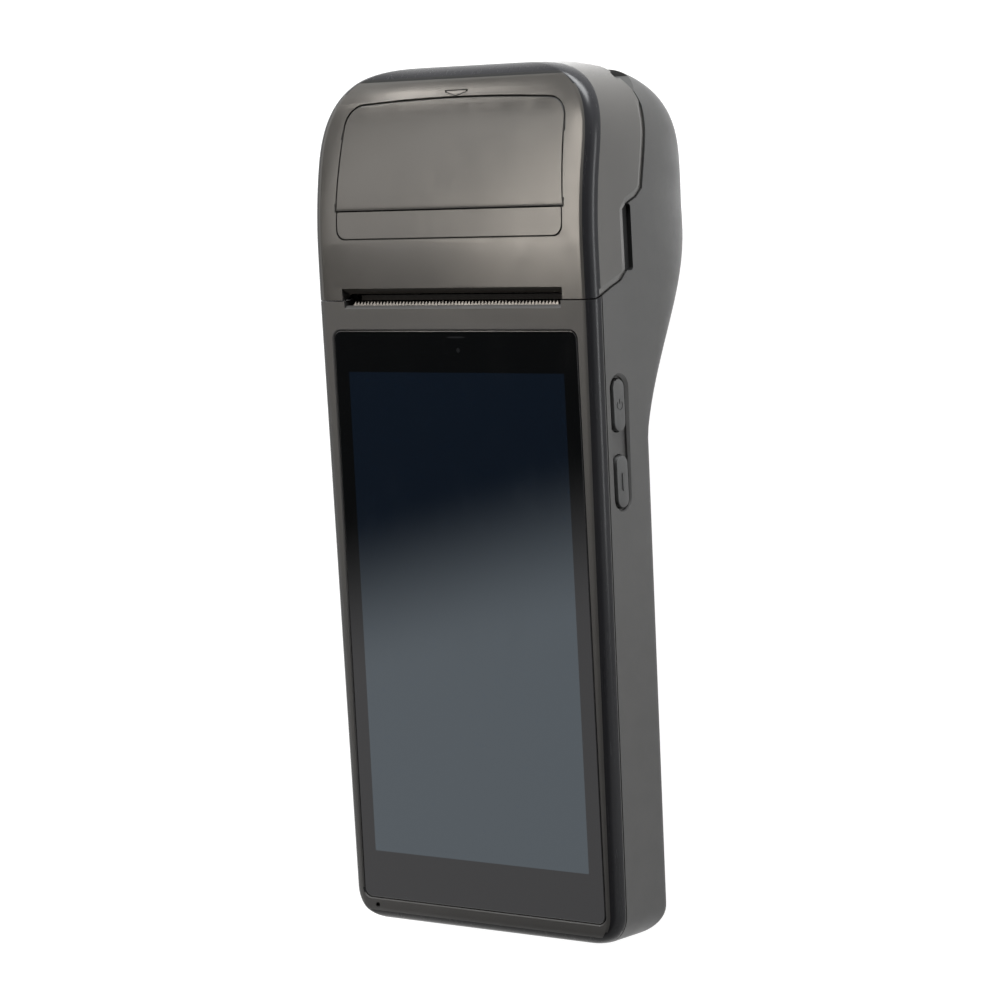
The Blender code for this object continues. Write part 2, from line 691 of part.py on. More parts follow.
def front_frame():
    frame = common(body_form(), whole_slab(-FRAME_THICKNESS, OVERRUN))
    frame = cut(frame, lid_space(GAP))
    seat = -GLASS_RECESS - GLASS_THICKNESS - GAP
    pocket = sweep(glass_outline(GAP / 2), "Z", seat, OVERRUN)
    window = sweep(glass_outline(-LEDGE_WIDTH), "Z", -FRAME_THICKNESS - OVERRUN, OVERRUN)
    lip_y = TEAR_Y - TEAR_CHAMFER_FROM_SEAM
    chamfer = [
        (lip_y - 2 * TEAR_CHAMFER, TEAR_CHAMFER_DEPTH),
        (lip_y, -TEAR_CHAMFER_DEPTH),
        (lip_y, -FRAME_THICKNESS - OVERRUN),
        (TEAR_Y + OVERRUN, -FRAME_THICKNESS - OVERRUN),
        (TEAR_Y + OVERRUN, TEAR_CHAMFER_DEPTH),
    ]
    chamfer_cut = sweep(chamfer, "X", -TEAR_CHAMFER_HALF_WIDTH, TEAR_CHAMFER_HALF_WIDTH)
    under = TEAR_BAR_HALF_WIDTH + 2 * GAP
    blade_pocket = block(
        -under, under, TEAR_Y - TEAR_BAR_LENGTH - 2 * GAP, TEAR_Y + OVERRUN,
        -FRAME_THICKNESS - OVERRUN, -TEAR_LIP,
    )
    hole_y = BOTTOM_Y + MIC_HOLE_FROM_BOTTOM
    hole = circle((MIC_HOLE_X, hole_y), MIC_HOLE_RADIUS, SMALL_ROUND_STEPS)
    microphone = sweep(hole, "Z", -MIC_HOLE_DEPTH, OVERRUN)
    return cut(frame, pocket, window, chamfer_cut, blade_pocket, microphone)


def touch_glass():
    front = -GLASS_RECESS
    return sweep(glass_outline(), "Z", front - GLASS_THICKNESS, front)


def lcd_panel():
    side = DISPLAY_WIDTH / 2 + LCD_BORDER
    low = -DISPLAY_HEIGHT / 2 - LCD_LOWER_BORDER
    high = DISPLAY_HEIGHT / 2 + LCD_UPPER_BORDER
    front = -GLASS_RECESS - GLASS_THICKNESS - GAP
    return block(-side, side, low, high, front - LCD_THICKNESS, front)


def light_sensor():
    front = -GLASS_RECESS - GLASS_THICKNESS - GAP
    outline = circle((SENSOR_DOT_X, SENSOR_DOT_Y), SENSOR_DOT_RADIUS, SMALL_ROUND_STEPS)
    return sweep(outline, "Z", front - SENSOR_DOT_HEIGHT, front)


def tear_bar():
    """A thin steel blade with saw teeth along its upper edge."""
    root = TEAR_Y - GAP - TOOTH_DEPTH
    outline = [(TEAR_BAR_HALF_WIDTH, TEAR_Y - TEAR_BAR_LENGTH), (TEAR_BAR_HALF_WIDTH, root)]
    pitch = 2 * TEAR_BAR_HALF_WIDTH / TOOTH_COUNT
    for tooth in range(TOOTH_COUNT):
        right = TEAR_BAR_HALF_WIDTH - pitch * tooth
        outline += [(right - pitch / 2, root + TOOTH_DEPTH), (right - pitch, root)]
    outline.append((-TEAR_BAR_HALF_WIDTH, TEAR_Y - TEAR_BAR_LENGTH))
    front = -TEAR_LIP - GAP
    return sweep(outline, "Z", front - TEAR_BAR_THICKNESS, front)


# Chassis, boards and battery
def case_screw_places():
    sides = (-CASE_SCREW_X, CASE_SCREW_X)
    return [(x, y) for x in sides for y in (CASE_SCREW_BOTTOM_Y, CASE_SCREW_TOP_Y)]


def chassis_front():
    return -FRAME_THICKNESS - 2 * GAP


def board_front():
    return chassis_front() - CHASSIS_THICKNESS - STANDOFF_HEIGHT - GAP


def board_standoff_places():
    sides = (-BOARD_HALF_WIDTH + STANDOFF_INSET, BOARD_HALF_WIDTH - STANDOFF_INSET)
    return [(x, y) for x in sides for y in (BOARD_BOTTOM_Y + STANDOFF_INSET, BOARD_TOP_Y - STANDOFF_INSET)]


def chassis():
    """The plate behind the display, with bosses for the case screws and the main board."""
    front = chassis_front()
    back = front - CHASSIS_THICKNESS
    low = BOTTOM_Y + CHASSIS_BOTTOM_INSET
    high = TEAR_Y - CHASSIS_TOP_FROM_TEAR
    outline = rounded_rectangle(-CHASSIS_HALF_WIDTH, CHASSIS_HALF_WIDTH, low, high, BOTTOM_CORNER)
    plate = sweep(outline, "Z", back, front)
    boss_end = -CASE_BOSS_TOP + GAP
    bosses = []
    for place in case_screw_places():
        bosses.append(sweep(circle(place, CHASSIS_BOSS_RADIUS, SMALL_ROUND_STEPS), "Z", boss_end, back + GAP))
    standoff_end = board_front() + GAP
    for place in board_standoff_places():
        bosses.append(sweep(circle(place, STANDOFF_RADIUS, SMALL_ROUND_STEPS), "Z", standoff_end, back + GAP))
    holes = []
    for place in case_screw_places():
        outline = circle(place, SCREW_RADIUS + GAP, SMALL_ROUND_STEPS)
        holes.append(sweep(outline, "Z", boss_end - OVERRUN, back + GAP))
    return cut(fused(plate, joined(bosses)), joined(holes))


def main_board():
    front = board_front()
    side = BOARD_HALF_WIDTH
    return block(-side, side, BOARD_BOTTOM_Y, BOARD_TOP_Y, front - BOARD_THICKNESS, front)


def shield_cans():
    front = board_front() - BOARD_THICKNESS - GAP
    length = BOARD_TOP_Y - BOARD_BOTTOM_Y
    cans = []
    for left, right, low, high in SHIELD_PLACE_SHARES:
        edges = [BOARD_HALF_WIDTH * (2 * share - 1) for share in (left, right)]
        ends = [BOARD_BOTTOM_Y + length * share for share in (low, high)]
        cans.append(block(*edges, *ends, front - SHIELD_HEIGHT, front))
    return cans


def battery_pack():
    side = BATTERY_HALF_WIDTH
    outline = rounded_rectangle(-side, side, BATTERY_BOTTOM_Y, BATTERY_TOP_Y, BATTERY_CORNER)
    return sweep(outline, "Z", INNER_BACK - GAP, -BATTERY_TOP_DEPTH)


def cover_outline(margin=0.0):
    side = COVER_HALF_WIDTH + margin
    low = BATTERY_BOTTOM_Y - COVER_MARGIN - margin
    high = BATTERY_TOP_Y + COVER_MARGIN + margin
    return rounded_rectangle(-side, side, low, high, COVER_CORNER + margin)


def cover_screw_places():
    sides = (-COVER_HALF_WIDTH + COVER_SCREW_INSET, COVER_HALF_WIDTH - COVER_SCREW_INSET)
    ends = (BATTERY_BOTTOM_Y + COVER_MARGIN, BATTERY_TOP_Y - COVER_MARGIN)
    return [(x, y) for x in sides for y in ends]


def cover_back():
    return -SIDE_DEPTH - GRIP_BACK_DROP + COVER_RECESS


def battery_cover():
    back = cover_back()
    plate = sweep(cover_outline(), "Z", back, back + COVER_THICKNESS)
    counterbore = back + SCREW_SINK / 2 + COVER_SCREW_HEAD + COVER_SCREW_SEAT
    return cut(plate, screw_holes(cover_screw_places(), back, counterbore, back + OVERRUN))


def screw(
    place, head_low, shaft_high, radius=SCREW_RADIUS, head_radius=SCREW_HEAD_RADIUS, head=SCREW_HEAD_HEIGHT
):
    """A pan-head screw that points to the front, its head's outer face at head_low."""
    neck = head_low + head
    profile = ((head_radius, head_low), (head_radius, neck), (radius, neck), (radius, shaft_high))
    return skinned([[(x, y, z) for x, y in circle(place, size, SMALL_ROUND_STEPS)] for size, z in profile])


def case_screws():
    head_low = -SIDE_DEPTH - GRIP_BACK_DROP + SCREW_SINK
    tip = chassis_front() - CHASSIS_THICKNESS - GAP
    return [screw(place, head_low, tip) for place in case_screw_places()]


def cover_screws():
    """Flat-headed screws in the battery cover's countersinks."""
    low = cover_back() + SCREW_SINK / 2
    tip = INNER_BACK + COVER_BOSS_HEIGHT / 2
    return [screw(place, low, tip, head=COVER_SCREW_HEAD) for place in cover_screw_places()]


def speaker():
    back = INNER_BACK + GAP
    right = SPEAKER_LEFT_X + SPEAKER_WIDTH
    high = SPEAKER_BOTTOM_Y + SPEAKER_LENGTH
    outline = rounded_rectangle(SPEAKER_LEFT_X, right, SPEAKER_BOTTOM_Y, high, GLASS_CORNER)
    return sweep(outline, "Z", back, back + SPEAKER_HEIGHT)


def grille_slots():
    middle_x = SPEAKER_LEFT_X + SPEAKER_WIDTH / 2
    middle_y = SPEAKER_BOTTOM_Y + SPEAKER_LENGTH / 2
    slots = []
    for index in range(GRILLE_SLOTS):
        y = middle_y + GRILLE_PITCH * (index - (GRILLE_SLOTS - 1) / 2)
        half = GRILLE_SLOT_WIDTH / 2
        slots.append(
            block(middle_x - GRILLE_SLOT_LENGTH / 2, middle_x + GRILLE_SLOT_LENGTH / 2, y - half, y + half,
                  -SIDE_DEPTH - OVERRUN, INNER_BACK + GAP)
        )
    return joined(slots)


# Side keys, their switches and board
def recess_middle_z():
    return -RECESS_FRONT_DEPTH - RECESS_HEIGHT / 2


def key_middles():
    """Middle (y, z) of the lower and the upper key."""
    reach = KEY_LENGTH / 2 + KEY_END_MARGIN
    return [(RECESS_BOTTOM_Y + reach, recess_middle_z()), (RECESS_TOP_Y - reach, recess_middle_z())]


def stadium(middle, length, height):
    y, z = middle
    radius = height / 2
    straight = length / 2 - radius
    return arc((y + straight, z), radius, -RIGHT_ANGLE, RIGHT_ANGLE, 2 * CORNER_STEPS) + arc(
        (y - straight, z), radius, RIGHT_ANGLE, RIGHT_ANGLE + STRAIGHT_ANGLE, 2 * CORNER_STEPS
    )


def key_wall_x():
    """Outer face of the right side wall at the keys."""
    return half_width((RECESS_BOTTOM_Y + RECESS_TOP_Y) / 2)


def key_cuts():
    """The shared recess of the keys, and a hole for each, in the right side wall."""
    middle = ((RECESS_BOTTOM_Y + RECESS_TOP_Y) / 2, recess_middle_z())
    wall = key_wall_x()
    outline = stadium(middle, RECESS_TOP_Y - RECESS_BOTTOM_Y, RECESS_HEIGHT)
    recess = sweep(outline, "X", wall - RECESS_CUT, wall + OVERRUN)
    holes = []
    for place in key_middles():
        outline = stadium(place, KEY_LENGTH + 2 * GAP, KEY_HEIGHT + 2 * GAP)
        holes.append(sweep(outline, "X", wall - WALL - OVERRUN / 2, wall + OVERRUN / 2))
    return recess, joined(holes)


def key_flange_x():
    return key_wall_x() - WALL - 2 * GAP


def side_key(middle, with_bar):
    """A key with the flange that keeps it in, and a stem that meets its switch."""
    flange = key_flange_x()
    face = key_wall_x() + KEY_PROUD
    cap = sweep(stadium(middle, KEY_LENGTH, KEY_HEIGHT), "X", flange - KEY_FLANGE_THICKNESS / 2, face)
    rim = stadium(middle, KEY_LENGTH + 2 * KEY_FLANGE, KEY_HEIGHT + 2 * KEY_FLANGE)
    inner = sweep(rim, "X", flange - KEY_FLANGE_THICKNESS, flange)
    stem_end = flange - KEY_FLANGE_THICKNESS - KEY_STEM_LENGTH
    stem = sweep(circle(middle, KEY_STEM_RADIUS, SMALL_ROUND_STEPS), "X", stem_end, flange)
    key = fused(inner, cap, stem)
    if with_bar:
        y, z = middle
        half = KEY_BAR_LENGTH / 2
        rise = KEY_BAR_WIDTH / 2
        key = fused(key, block(face - GAP, face + KEY_BAR_HEIGHT, y - half, y + half, z - rise, z + rise))
    return key


def switch_face_x():
    return key_flange_x() - KEY_FLANGE_THICKNESS - KEY_STEM_LENGTH - SWITCH_GAP


def tact_switch(middle):
    y, z = middle
    front = switch_face_x() - SWITCH_PLUNGER
    half = SWITCH_BODY / 2
    body = block(front - SWITCH_DEPTH, front, y - half, y + half, z - half, z + half)
    plunger_outline = circle(middle, SWITCH_PLUNGER_RADIUS, SMALL_ROUND_STEPS)
    plunger = sweep(plunger_outline, "X", front - GAP, switch_face_x())
    return fused(body, plunger)


def key_board():
    right = switch_face_x() - SWITCH_PLUNGER - SWITCH_DEPTH - GAP
    front = -KEY_BOARD_FRONT_DEPTH
    return block(
        right - KEY_BOARD_THICKNESS, right, RECESS_BOTTOM_Y, RECESS_TOP_Y, front - KEY_BOARD_HEIGHT, front
    )


# Charging port
def port_middle_z():
    return board_front() - BOARD_THICKNESS - GAP - PORT_HEIGHT / 2


def port_outline(margin=0.0):
    return stadium((PORT_Y, port_middle_z()), PORT_WIDTH + 2 * margin, PORT_HEIGHT + 2 * margin)


def charging_port():
    """A metal shell with its tongue inside, open to the left."""
    mouth = -half_width(PORT_Y) + PORT_SET_BACK
    end = mouth + PORT_LENGTH
    shell = sweep(port_outline(), "X", mouth, end)
    bore = sweep(port_outline(-PORT_WALL), "X", mouth - OVERRUN, end - 2 * PORT_WALL)
    z = port_middle_z()
    half = PORT_TONGUE_THICKNESS / 2
    reach = PORT_WIDTH / 2 - 4 * PORT_WALL
    tongue = block(mouth + 3 * PORT_WALL, end - PORT_WALL, PORT_Y - reach, PORT_Y + reach, z - half, z + half)
    return fused(cut(shell, bore), tongue)


def port_cut():
    wall = -half_width(PORT_Y)
    return sweep(port_outline(GAP), "X", wall - OVERRUN, wall + WALL + OVERRUN / 2)


# Rear shell
def hinge_lugs():
    """Two eyes that stand on the rear shell beside the lid's hinge barrel."""
    left = HINGE_BARREL_HALF_WIDTH + GAP
    eye = sweep(circle((HINGE_Y, HINGE_Z), HINGE_BARREL_RADIUS), "X", left, left + HINGE_LUG_WIDTH)
    low = HINGE_Z - LUG_ROOT_DEPTH
    root = rectangle(HINGE_Y - LUG_ROOT_LENGTH, HINGE_Y, low, HINGE_Z - HINGE_BARREL_RADIUS / 2)
    return both_sides(fused(eye, sweep(root, "X", left, left + HINGE_LUG_WIDTH)))


def hinge_pin_outline(margin=0.0):
    return circle((HINGE_Y, HINGE_Z), HINGE_PIN_RADIUS + margin, SMALL_ROUND_STEPS)


def hinge_reach():
    return HINGE_BARREL_HALF_WIDTH + GAP + HINGE_LUG_WIDTH


def hinge_pin():
    return sweep(hinge_pin_outline(), "X", -hinge_reach(), hinge_reach())


def groove_cuts():
    """The finger groove along each side, below the lid's edge."""
    low = TEAR_Y + LID_LENGTH * GROOVE_START_SHARE
    high = TEAR_Y + LID_LENGTH * GROOVE_END_SHARE
    front = seam_path()[4][1]
    inner = PRINTER_HALF_WIDTH - GROOVE_DEPTH
    outer = PRINTER_HALF_WIDTH + OVERRUN
    return both_sides(block(inner, outer, low, high, front - GROOVE_HEIGHT - GAP, front))


def case_bosses():
    low = INNER_BACK - GAP
    outlines = [circle(place, CASE_BOSS_RADIUS, SMALL_ROUND_STEPS) for place in case_screw_places()]
    return joined([sweep(outline, "Z", low, -CASE_BOSS_TOP) for outline in outlines])


def cover_bosses():
    """Bosses inside the rear shell for the battery cover's screws."""
    outlines = [circle(place, COVER_BOSS_RADIUS, SMALL_ROUND_STEPS) for place in cover_screw_places()]
    high = INNER_BACK + COVER_BOSS_HEIGHT
    return joined([sweep(outline, "Z", INNER_BACK - GAP, high) for outline in outlines])


def screw_holes(places, head_low, counterbore, end):
    """Clearance holes with a counterbore, opening to the back."""
    holes = []
    for place in places:
        profile = (
            (SCREW_HEAD_RADIUS + GAP, head_low - OVERRUN),
            (SCREW_HEAD_RADIUS + GAP, counterbore),
            (SCREW_RADIUS + GAP, counterbore),
            (SCREW_RADIUS + GAP, end),
        )
        rings = [(circle(place, size, SMALL_ROUND_STEPS), z) for size, z in profile]
        holes.append(skinned([[(x, y, z) for x, y in ring] for ring, z in rings]))
    return joined(holes)


def rear_shell():
    front = whole_slab(-FRAME_THICKNESS - GAP, OVERRUN)
    shell = cut(body_form(), hollow(), lid_space(GAP, HINGE_RELIEF), front)
    shell = fused(shell, hinge_lugs(), case_bosses(), cover_bosses())
    seat = cover_back() + COVER_THICKNESS + GAP
    cover_seat = sweep(cover_outline(GAP), "Z", -SIDE_DEPTH - OVERRUN, seat)
    side = BATTERY_HALF_WIDTH + 2 * GAP
    bay = rounded_rectangle(-side, side, BATTERY_BOTTOM_Y - 2 * GAP, BATTERY_TOP_Y + 2 * GAP, BATTERY_CORNER)
    battery_opening = sweep(bay, "Z", -SIDE_DEPTH - OVERRUN, -SIDE_DEPTH + OVERRUN)
    hole_end = INNER_BACK + COVER_BOSS_HEIGHT - GAP
    outlines = [circle(place, SCREW_RADIUS + GAP, SMALL_ROUND_STEPS) for place in cover_screw_places()]
    boss_holes = joined([sweep(outline, "Z", seat - OVERRUN, hole_end) for outline in outlines])
    head_low = -SIDE_DEPTH - GRIP_BACK_DROP + SCREW_SINK
    case_holes = screw_holes(case_screw_places(), head_low, head_low + SCREW_HEAD_HEIGHT + GAP, OVERRUN)
    pin_hole = sweep(hinge_pin_outline(RUNNING_GAP), "X", -hinge_reach() - OVERRUN, hinge_reach() + OVERRUN)
    return cut(
        shell, cover_seat, battery_opening, boss_holes, case_holes, *key_cuts(), port_cut(), groove_cuts(),
        grille_slots(), pin_hole
    )


# Printer lid
def arch_outline(margin=0.0):
    """The lever's outline on the lid's face: straight below, arched above."""
    low = LEVER_Y - margin
    high = LEVER_Y + LEVER_HEIGHT - LEVER_ARCH
    centre = (LEVER_TOP_HALF_WIDTH - LEVER_CORNER, high - LEVER_CORNER)
    right = [(LEVER_HALF_WIDTH + margin, low)] + arc(centre, LEVER_CORNER + margin, 0.0, RIGHT_ANGLE)
    crown = []
    for step in range(1, ARCH_STEPS):
        across = 1.0 - 2.0 * step / ARCH_STEPS
        crown.append((centre[0] * across, high + margin + LEVER_ARCH * (1.0 - across**2)))
    left = [(-x, y) for x, y in reversed(right)]
    return right + crown + left


def face_profile(start, end, shallow, deep):
    """A strip (y, z) that follows the lid's face between two depths."""
    ys = [start + (end - start) * step / ARCH_STEPS for step in range(ARCH_STEPS + 1)]
    upper = [(y, face_z(y) - shallow) for y in ys]
    lower = [(y, face_z(y) - deep) for y in reversed(ys)]
    return upper + lower


def lever_pocket():
    """The room of the lever: a shallow pocket with a window along the pivot."""
    reach = LEVER_HALF_WIDTH + OVERRUN
    end = LEVER_Y + LEVER_HEIGHT + OVERRUN
    strip = sweep(face_profile(LEVER_Y - OVERRUN, end, -OVERRUN, LEVER_THICKNESS + GAP), "X", -reach, reach)
    pocket = common(strip, sweep(arch_outline(GAP), "Z", -WHOLE_DEPTH, OVERRUN))
    side = LEVER_HALF_WIDTH + GAP
    window = block(-side, side, LEVER_Y - GAP, LEVER_Y + LEVER_WINDOW, -SIDE_DEPTH, OVERRUN)
    return pocket, window


def lever_axis_z():
    return face_z(LEVER_AXIS_Y) - LEVER_BARREL_RADIUS


def lever_pin_outline(margin=0.0):
    return circle((LEVER_AXIS_Y, lever_axis_z()), LEVER_PIN_RADIUS + margin, SMALL_ROUND_STEPS)


def lever_pin_reach():
    return LEVER_HALF_WIDTH + LEVER_PIN_REACH


def lever_bosses():
    """Blocks inside the lid that hold the ends of the lever's pin."""
    left = LEVER_HALF_WIDTH + GAP
    outline = circle((LEVER_AXIS_Y, lever_axis_z()), LEVER_BOSS_RADIUS)
    return both_sides(sweep(outline, "X", left, left + LEVER_BOSS_WIDTH))


def slot_cut():
    """The paper slot in the lid's front edge, with a chamfer along its upper side."""
    low = TEAR_Y - OVERRUN
    lip = TEAR_Y + SLOT_LIP
    through = rounded_rectangle(-SLOT_HALF_WIDTH, SLOT_HALF_WIDTH, low, lip, SLOT_CORNER)
    chamfer = [
        (lip - SLOT_CORNER - GAP, -SLOT_CHAMFER_DEPTH),
        (lip, -SLOT_CHAMFER_DEPTH),
        (lip + 2 * SLOT_CHAMFER, SLOT_CHAMFER_DEPTH),
        (lip - SLOT_CORNER - GAP, SLOT_CHAMFER_DEPTH),
    ]
    return (
        sweep(through, "Z", -WALL - OVERRUN / 2, OVERRUN),
        sweep(chamfer, "X", -SLOT_HALF_WIDTH, SLOT_HALF_WIDTH),
    )


def lid_screw_places():
    y = TEAR_Y + INNER_FRAME_START + INNER_FRAME_LENGTH / 2
    return [(-LID_SCREW_SPACING, y), (0.0, y), (LID_SCREW_SPACING, y)]


def lid_screw_holes():
    top = -INNER_FRAME_DEPTH + LID_SCREW_LENGTH
    outlines = [circle(place, SMALL_SCREW_RADIUS + GAP, SMALL_ROUND_STEPS) for place in lid_screw_places()]
    return joined([sweep(outline, "Z", -SIDE_DEPTH, top) for outline in outlines])


def printer_lid():
    lid = cut(common(body_form(), lid_space()), hollow())
    centre = (HINGE_Y, HINGE_Z)
    side = HINGE_BARREL_HALF_WIDTH
    barrel = sweep(circle(centre, HINGE_BARREL_RADIUS), "X", -side, side)
    lug_room = both_sides(sweep(circle(centre, HINGE_BARREL_RADIUS + GAP), "X", side, hinge_reach() + GAP))
    lid = fused(cut(lid, lug_room), barrel, lever_bosses())
    pin_hole = sweep(hinge_pin_outline(RUNNING_GAP), "X", -hinge_reach() - OVERRUN, hinge_reach() + OVERRUN)
    reach = lever_pin_reach() + GAP
    lever_pin_hole = sweep(lever_pin_outline(RUNNING_GAP), "X", -reach, reach)
    return cut(lid, *slot_cut(), *lever_pocket(), pin_hole, lever_pin_hole, lid_screw_holes())


def undercut_arch():
    """The lever's outline swept inwards and down, so that its top edge clears the pocket as it lifts."""
    edge = face_z(LEVER_Y + LEVER_HEIGHT)
    loops = []
    for z in (-SIDE_DEPTH, OVERRUN):
        loops.append([(x, y + LEVER_UNDERCUT_SHARE * (z - edge), z) for x, y in arch_outline()])
    return skinned(loops)


def release_lever():
    """The lid's raised-arch panel, its pivot barrel and the two latch arms behind it."""
    axis_z = lever_axis_z()
    end = LEVER_Y + LEVER_HEIGHT + OVERRUN
    strip = face_profile(LEVER_AXIS_Y, end, 0.0, LEVER_THICKNESS)
    first, last = -RIGHT_ANGLE / 2, -STRAIGHT_ANGLE - RIGHT_ANGLE
    barrel = arc((LEVER_AXIS_Y, axis_z), LEVER_BARREL_RADIUS, first, last, ROUND_STEPS // 2)
    reach = LEVER_HALF_WIDTH + OVERRUN
    panel = sweep(strip[1:-1] + barrel, "X", -reach, reach)
    panel = common(panel, undercut_arch())
    foot = axis_z - LEVER_ARM_LENGTH
    arm = [
        (LEVER_AXIS_Y + LEVER_BARREL_RADIUS / 2, axis_z),
        (LEVER_AXIS_Y - LEVER_BARREL_RADIUS / 2, axis_z),
        (LEVER_AXIS_Y - LEVER_ARM_WIDTH, foot + LEVER_NOSE_THICKNESS),
        (LEVER_AXIS_Y - LEVER_ARM_WIDTH - LEVER_NOSE, foot + LEVER_NOSE_THICKNESS),
        (LEVER_AXIS_Y - LEVER_ARM_WIDTH - LEVER_NOSE / 2, foot),
        (LEVER_AXIS_Y, foot),
    ]
    arms = both_sides(sweep(arm, "X", LEVER_ARM_INNER, LEVER_ARM_INNER + LEVER_ARM_THICKNESS))
    half = LEVER_SPRING_HALF_LENGTH + GAP
    spring_room = block(
        -half, half, LEVER_Y - OVERRUN, LEVER_AXIS_Y + LEVER_BARREL_RADIUS,
        -SIDE_DEPTH, face_z(LEVER_Y) - LEVER_SKIN,
    )
    reach = lever_pin_reach() + GAP
    return cut(fused(panel, arms), spring_room, sweep(lever_pin_outline(RUNNING_GAP), "X", -reach, reach))


def lever_pin():
    return sweep(lever_pin_outline(), "X", -lever_pin_reach(), lever_pin_reach())


def coil(centre, axis, start, end, radius, wire, turns):
    """A helical spring along an axis, with flat cut ends."""
    place = PLACES[axis]
    count = turns * COIL_STEPS
    loops = []
    for step in range(count + 1):
        angle = FULL_ANGLE * step / COIL_STEPS
        along = start + (end - start) * step / count
        out = (math.cos(math.radians(angle)), math.sin(math.radians(angle)))
        ring = []
        for corner in range(4):
            turn = math.radians(corner * RIGHT_ANGLE)
            reach = radius + wire * math.cos(turn)
            point = (centre[0] + reach * out[0], centre[1] + reach * out[1])
            ring.append(place(*point, along + wire * math.sin(turn)))
        loops.append(ring)
    return skinned(loops)


def lever_spring():
    centre = (LEVER_AXIS_Y, lever_axis_z())
    radius = LEVER_PIN_RADIUS + GAP / 2 + LEVER_SPRING_WIRE
    reach = LEVER_SPRING_HALF_LENGTH - LEVER_SPRING_WIRE
    return coil(centre, "X", -reach, reach, radius, LEVER_SPRING_WIRE, LEVER_SPRING_TURNS)


# Platen, its bearings and the gear train
def exit_direction():
    """Angle in the (y, z) plane in which the platen leaves its seat as the lid opens."""
    return math.degrees(math.atan2(HINGE_Y - PLATEN_Y, -(HINGE_Z - PLATEN_Z)))


def along_angle(centre, angle, distance):
    turn = math.radians(angle)
    return (centre[0] + distance * math.cos(turn), centre[1] + distance * math.sin(turn))


def idler_direction():
    return exit_direction() + STRAIGHT_ANGLE


def idler_centre():
    distance = GEAR_MODULE * (PLATEN_TEETH + IDLER_TEETH) / 2
    return along_angle((PLATEN_Y, PLATEN_Z), idler_direction(), distance)


def motor_direction():
    """Angle from the idler to the motor, whose can just clears the cross plate above it."""
    distance = GEAR_MODULE * (IDLER_TEETH + PINION_TEETH) / 2
    middle = -PLATE_TOP_DEPTH - CROSS_PLATE_HEIGHT - MOTOR_CLEARANCE - MOTOR_RADIUS
    return STRAIGHT_ANGLE - math.degrees(math.asin((middle - idler_centre()[1]) / distance))


def motor_centre():
    distance = GEAR_MODULE * (IDLER_TEETH + PINION_TEETH) / 2
    return along_angle(idler_centre(), motor_direction(), distance)


def gear_outline(centre, teeth, phase):
    """A gear outline with straight flanks. The phase is the angle of a tooth's middle."""
    pitch_radius = GEAR_MODULE * teeth / 2
    tip = pitch_radius + GEAR_MODULE * TOOTH_RISE_SHARE
    root = pitch_radius - GEAR_MODULE * TOOTH_FALL_SHARE
    step = FULL_ANGLE / teeth
    points = []
    for tooth in range(teeth):
        middle = phase + step * tooth
        flanks = (
            (root, -TOOTH_ROOT_SHARE), (tip, -TOOTH_TIP_SHARE), (tip, TOOTH_TIP_SHARE), (root, TOOTH_ROOT_SHARE)
        )
        for radius, turn in flanks:
            points.append(along_angle(centre, middle + turn * step / 2, radius))
    return points


def meshed_phase(phase, teeth, direction, other_teeth):
    """Phase of a gear that lies in a direction from its neighbour, so that their teeth mesh."""
    past = (direction - phase) / (FULL_ANGLE / teeth)
    return direction + STRAIGHT_ANGLE + (past + 1 / 2) * FULL_ANGLE / other_teeth


def gear(centre, teeth, phase, bore):
    body = sweep(gear_outline(centre, teeth, phase), "X", GEAR_INNER_X, GEAR_INNER_X + GEAR_WIDTH)
    hole = sweep(circle(centre, bore, SMALL_ROUND_STEPS), "X", GEAR_INNER_X - OVERRUN, GEAR_INNER_X + OVERRUN)
    return cut(body, hole)


def platen_gear():
    return gear((PLATEN_Y, PLATEN_Z), PLATEN_TEETH, idler_direction(), SHAFT_RADIUS + GAP)


def idler_phase():
    return meshed_phase(idler_direction(), PLATEN_TEETH, idler_direction(), IDLER_TEETH)


def idler_gear():
    return gear(idler_centre(), IDLER_TEETH, idler_phase(), IDLER_POST_RADIUS + RUNNING_GAP)


def motor_pinion():
    """The motor's gear, in one piece with the shaft that enters the motor."""
    centre = motor_centre()
    phase = meshed_phase(idler_phase(), IDLER_TEETH, motor_direction(), PINION_TEETH)
    teeth = sweep(gear_outline(centre, PINION_TEETH, phase), "X", GEAR_INNER_X, GEAR_INNER_X + GEAR_WIDTH)
    start = PLATE_INNER_X - GAP - MOTOR_SHAFT_SEAT
    outline = circle(centre, MOTOR_SHAFT_RADIUS, SMALL_ROUND_STEPS)
    return fused(teeth, sweep(outline, "X", start, GEAR_INNER_X + GAP))


def platen_roller():
    centre = (PLATEN_Y, PLATEN_Z)
    bore = circle(centre, SHAFT_RADIUS + GAP)
    return tube(circle(centre, PLATEN_RADIUS), bore, "X", -PLATEN_HALF_WIDTH, PLATEN_HALF_WIDTH)


def platen_shaft():
    outline = circle((PLATEN_Y, PLATEN_Z), SHAFT_RADIUS, SMALL_ROUND_STEPS)
    return sweep(outline, "X", -SHAFT_HALF_LENGTH, SHAFT_HALF_LENGTH)


def platen_bushes():
    centre = (PLATEN_Y, PLATEN_Z)
    outer = circle(centre, BUSH_RADIUS, SMALL_ROUND_STEPS)
    inner = circle(centre, SHAFT_RADIUS + RUNNING_GAP, SMALL_ROUND_STEPS)
    both_ends = ((-BUSH_OUTER_X, -BUSH_INNER_X), (BUSH_INNER_X, BUSH_OUTER_X))
    return [tube(outer, inner, "X", *ends) for ends in both_ends]


